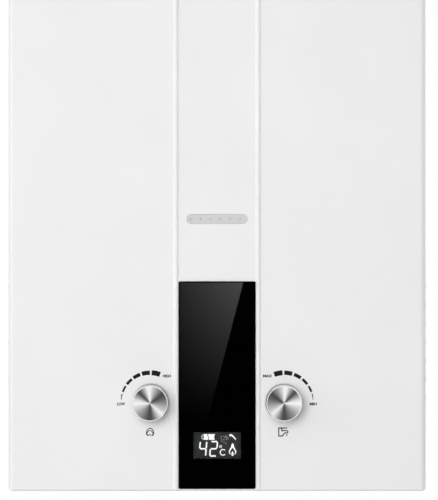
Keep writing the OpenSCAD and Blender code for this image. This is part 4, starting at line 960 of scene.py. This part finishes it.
def stage_sheet(name, corners, finish):
    """A flat sheet that belongs to the studio and not to the heater."""
    form = bmesh.new()
    form.faces.new([form.verts.new(corner) for corner in corners])
    mesh = bpy.data.meshes.new(name)
    form.to_mesh(mesh)
    form.free()
    mesh.materials.append(finish)
    sheet = bpy.data.objects.new(name, mesh)
    bpy.context.scene.collection.objects.link(sheet)
    return sheet


def surface_of(finish):
    return finish.node_tree.nodes["Material Output"].inputs["Surface"]


floor_half = 3.0
floor_z = -2.0
fade_from = 1.1
floor_glow = 0.4
floor_finish = new_finish("pale_floor", roughness=0.8)
tint(floor_finish, (0.84, 0.84, 0.84), (0.87, 0.87, 0.87), cloud(floor_finish, 0.4))
out_from_middle = add_node(floor_finish, "ShaderNodeVectorMath", operation="LENGTH")
join(floor_finish, place_on_part(floor_finish, stretch=(1, 1, 0)), out_from_middle.inputs[0])
edge_fade = add_node(floor_finish, "ShaderNodeMapRange", interpolation_type="SMOOTHSTEP")
edge_fade.inputs["From Min"].default_value = fade_from
edge_fade.inputs["From Max"].default_value = floor_half
edge_fade.inputs["To Min"].default_value = floor_glow
join(floor_finish, out_from_middle.outputs["Value"], edge_fade.inputs["Value"])
fade_share = add_node(floor_finish, "ShaderNodeMath", operation="MULTIPLY")
join(floor_finish, edge_fade.outputs["Result"], fade_share.inputs[0])
join(floor_finish, seen_as_background(floor_finish), fade_share.inputs[1])
white_glow = add_node(floor_finish, "ShaderNodeEmission")
floor_mix = add_node(floor_finish, "ShaderNodeMixShader")
join(floor_finish, fade_share.outputs["Value"], floor_mix.inputs["Fac"])
join(floor_finish, floor_finish.node_tree.nodes["Principled BSDF"].outputs["BSDF"], floor_mix.inputs[1])
join(floor_finish, white_glow.outputs["Emission"], floor_mix.inputs[2])
join(floor_finish, floor_mix.outputs["Shader"], surface_of(floor_finish))
floor_corners = [(x * floor_half, y * floor_half, floor_z)
                 for x, y in ((-1, -1), (1, -1), (1, 1), (-1, 1))]
stage_sheet("floor", floor_corners, floor_finish)


def mirrored(x, z):
    """Where the glass shows this point of itself: the spot beside the lens that it mirrors."""
    return 2 * x - view_x, 2 * z - view_z


def card_only_in_mirrors(card):
    card.visible_camera = False
    card.visible_diffuse = False
    card.visible_shadow = False


card_y = panel_y - view_distance
card_margin = 30 * mm
card_left, card_foot = mirrored(glass_low[0] - card_margin, glass_low[2] - card_margin)
card_right, card_head = mirrored(glass_high[0] + card_margin, glass_high[2] + card_margin)
dark_card_finish = new_finish("dark_card", roughness=1.0)
tint(dark_card_finish, (0.0, 0.0, 0.0), (0.001, 0.001, 0.001), cloud(dark_card_finish, 0.1))
shader_input(dark_card_finish, "Specular IOR Level").default_value = 0.0
card_only_in_mirrors(stage_sheet("dark_card", [
    (card_left, card_y, card_foot), (card_right, card_y, card_foot),
    (card_right, card_y, card_head), (card_left, card_y, card_head)], dark_card_finish))

dark_border = 1.0 * mm
streak_top_x = 20.5 * mm
streak_foot_x = -9.6 * mm
streak_foot_up = 47.8 * mm
streak_top = mirrored(streak_top_x, glass_high[2] - dark_border)
streak_foot = mirrored(streak_foot_x, case_foot + streak_foot_up)
streak_left = mirrored(glass_low[0] + dark_border, 0)[0]
streak_glow = 1.55
streak_left_share = 0.3
streak_fade = 1.7
streak_lift = 2 * mm
streak_finish = bpy.data.materials.new("soft_panel")
streak_finish.use_nodes = True
streak_finish.node_tree.nodes.remove(streak_finish.node_tree.nodes["Principled BSDF"])
glow = add_node(streak_finish, "ShaderNodeEmission")
join(streak_finish, glow.outputs["Emission"], surface_of(streak_finish))
part_place = add_node(streak_finish, "ShaderNodeSeparateXYZ")
join(streak_finish, place_on_part(streak_finish), part_place.inputs["Vector"])
rise = add_node(streak_finish, "ShaderNodeMapRange")
rise.inputs["From Min"].default_value = streak_foot[1]
rise.inputs["From Max"].default_value = streak_top[1]
join(streak_finish, part_place.outputs["Z"], rise.inputs["Value"])
fade = add_node(streak_finish, "ShaderNodeMath", operation="POWER")
fade.inputs[1].default_value = streak_fade
join(streak_finish, rise.outputs["Result"], fade.inputs[0])
sweep = add_node(streak_finish, "ShaderNodeMapRange")
sweep.inputs["From Min"].default_value = streak_left
sweep.inputs["From Max"].default_value = streak_top[0]
sweep.inputs["To Min"].default_value = streak_left_share * streak_glow
sweep.inputs["To Max"].default_value = streak_glow
join(streak_finish, part_place.outputs["X"], sweep.inputs["Value"])
strength = add_node(streak_finish, "ShaderNodeMath", operation="MULTIPLY")
join(streak_finish, fade.outputs["Value"], strength.inputs[0])
join(streak_finish, sweep.outputs["Result"], strength.inputs[1])
join(streak_finish, strength.outputs["Value"], glow.inputs["Strength"])
streak_y = card_y + streak_lift
card_only_in_mirrors(stage_sheet("soft_panel", [
    (streak_left, streak_y, streak_top[1]), (streak_top[0], streak_y, streak_top[1]),
    (streak_foot[0], streak_y, streak_foot[1]), (streak_left, streak_y, streak_foot[1])], streak_finish))

view = bpy.context.scene.view_settings
view.view_transform = "Standard"
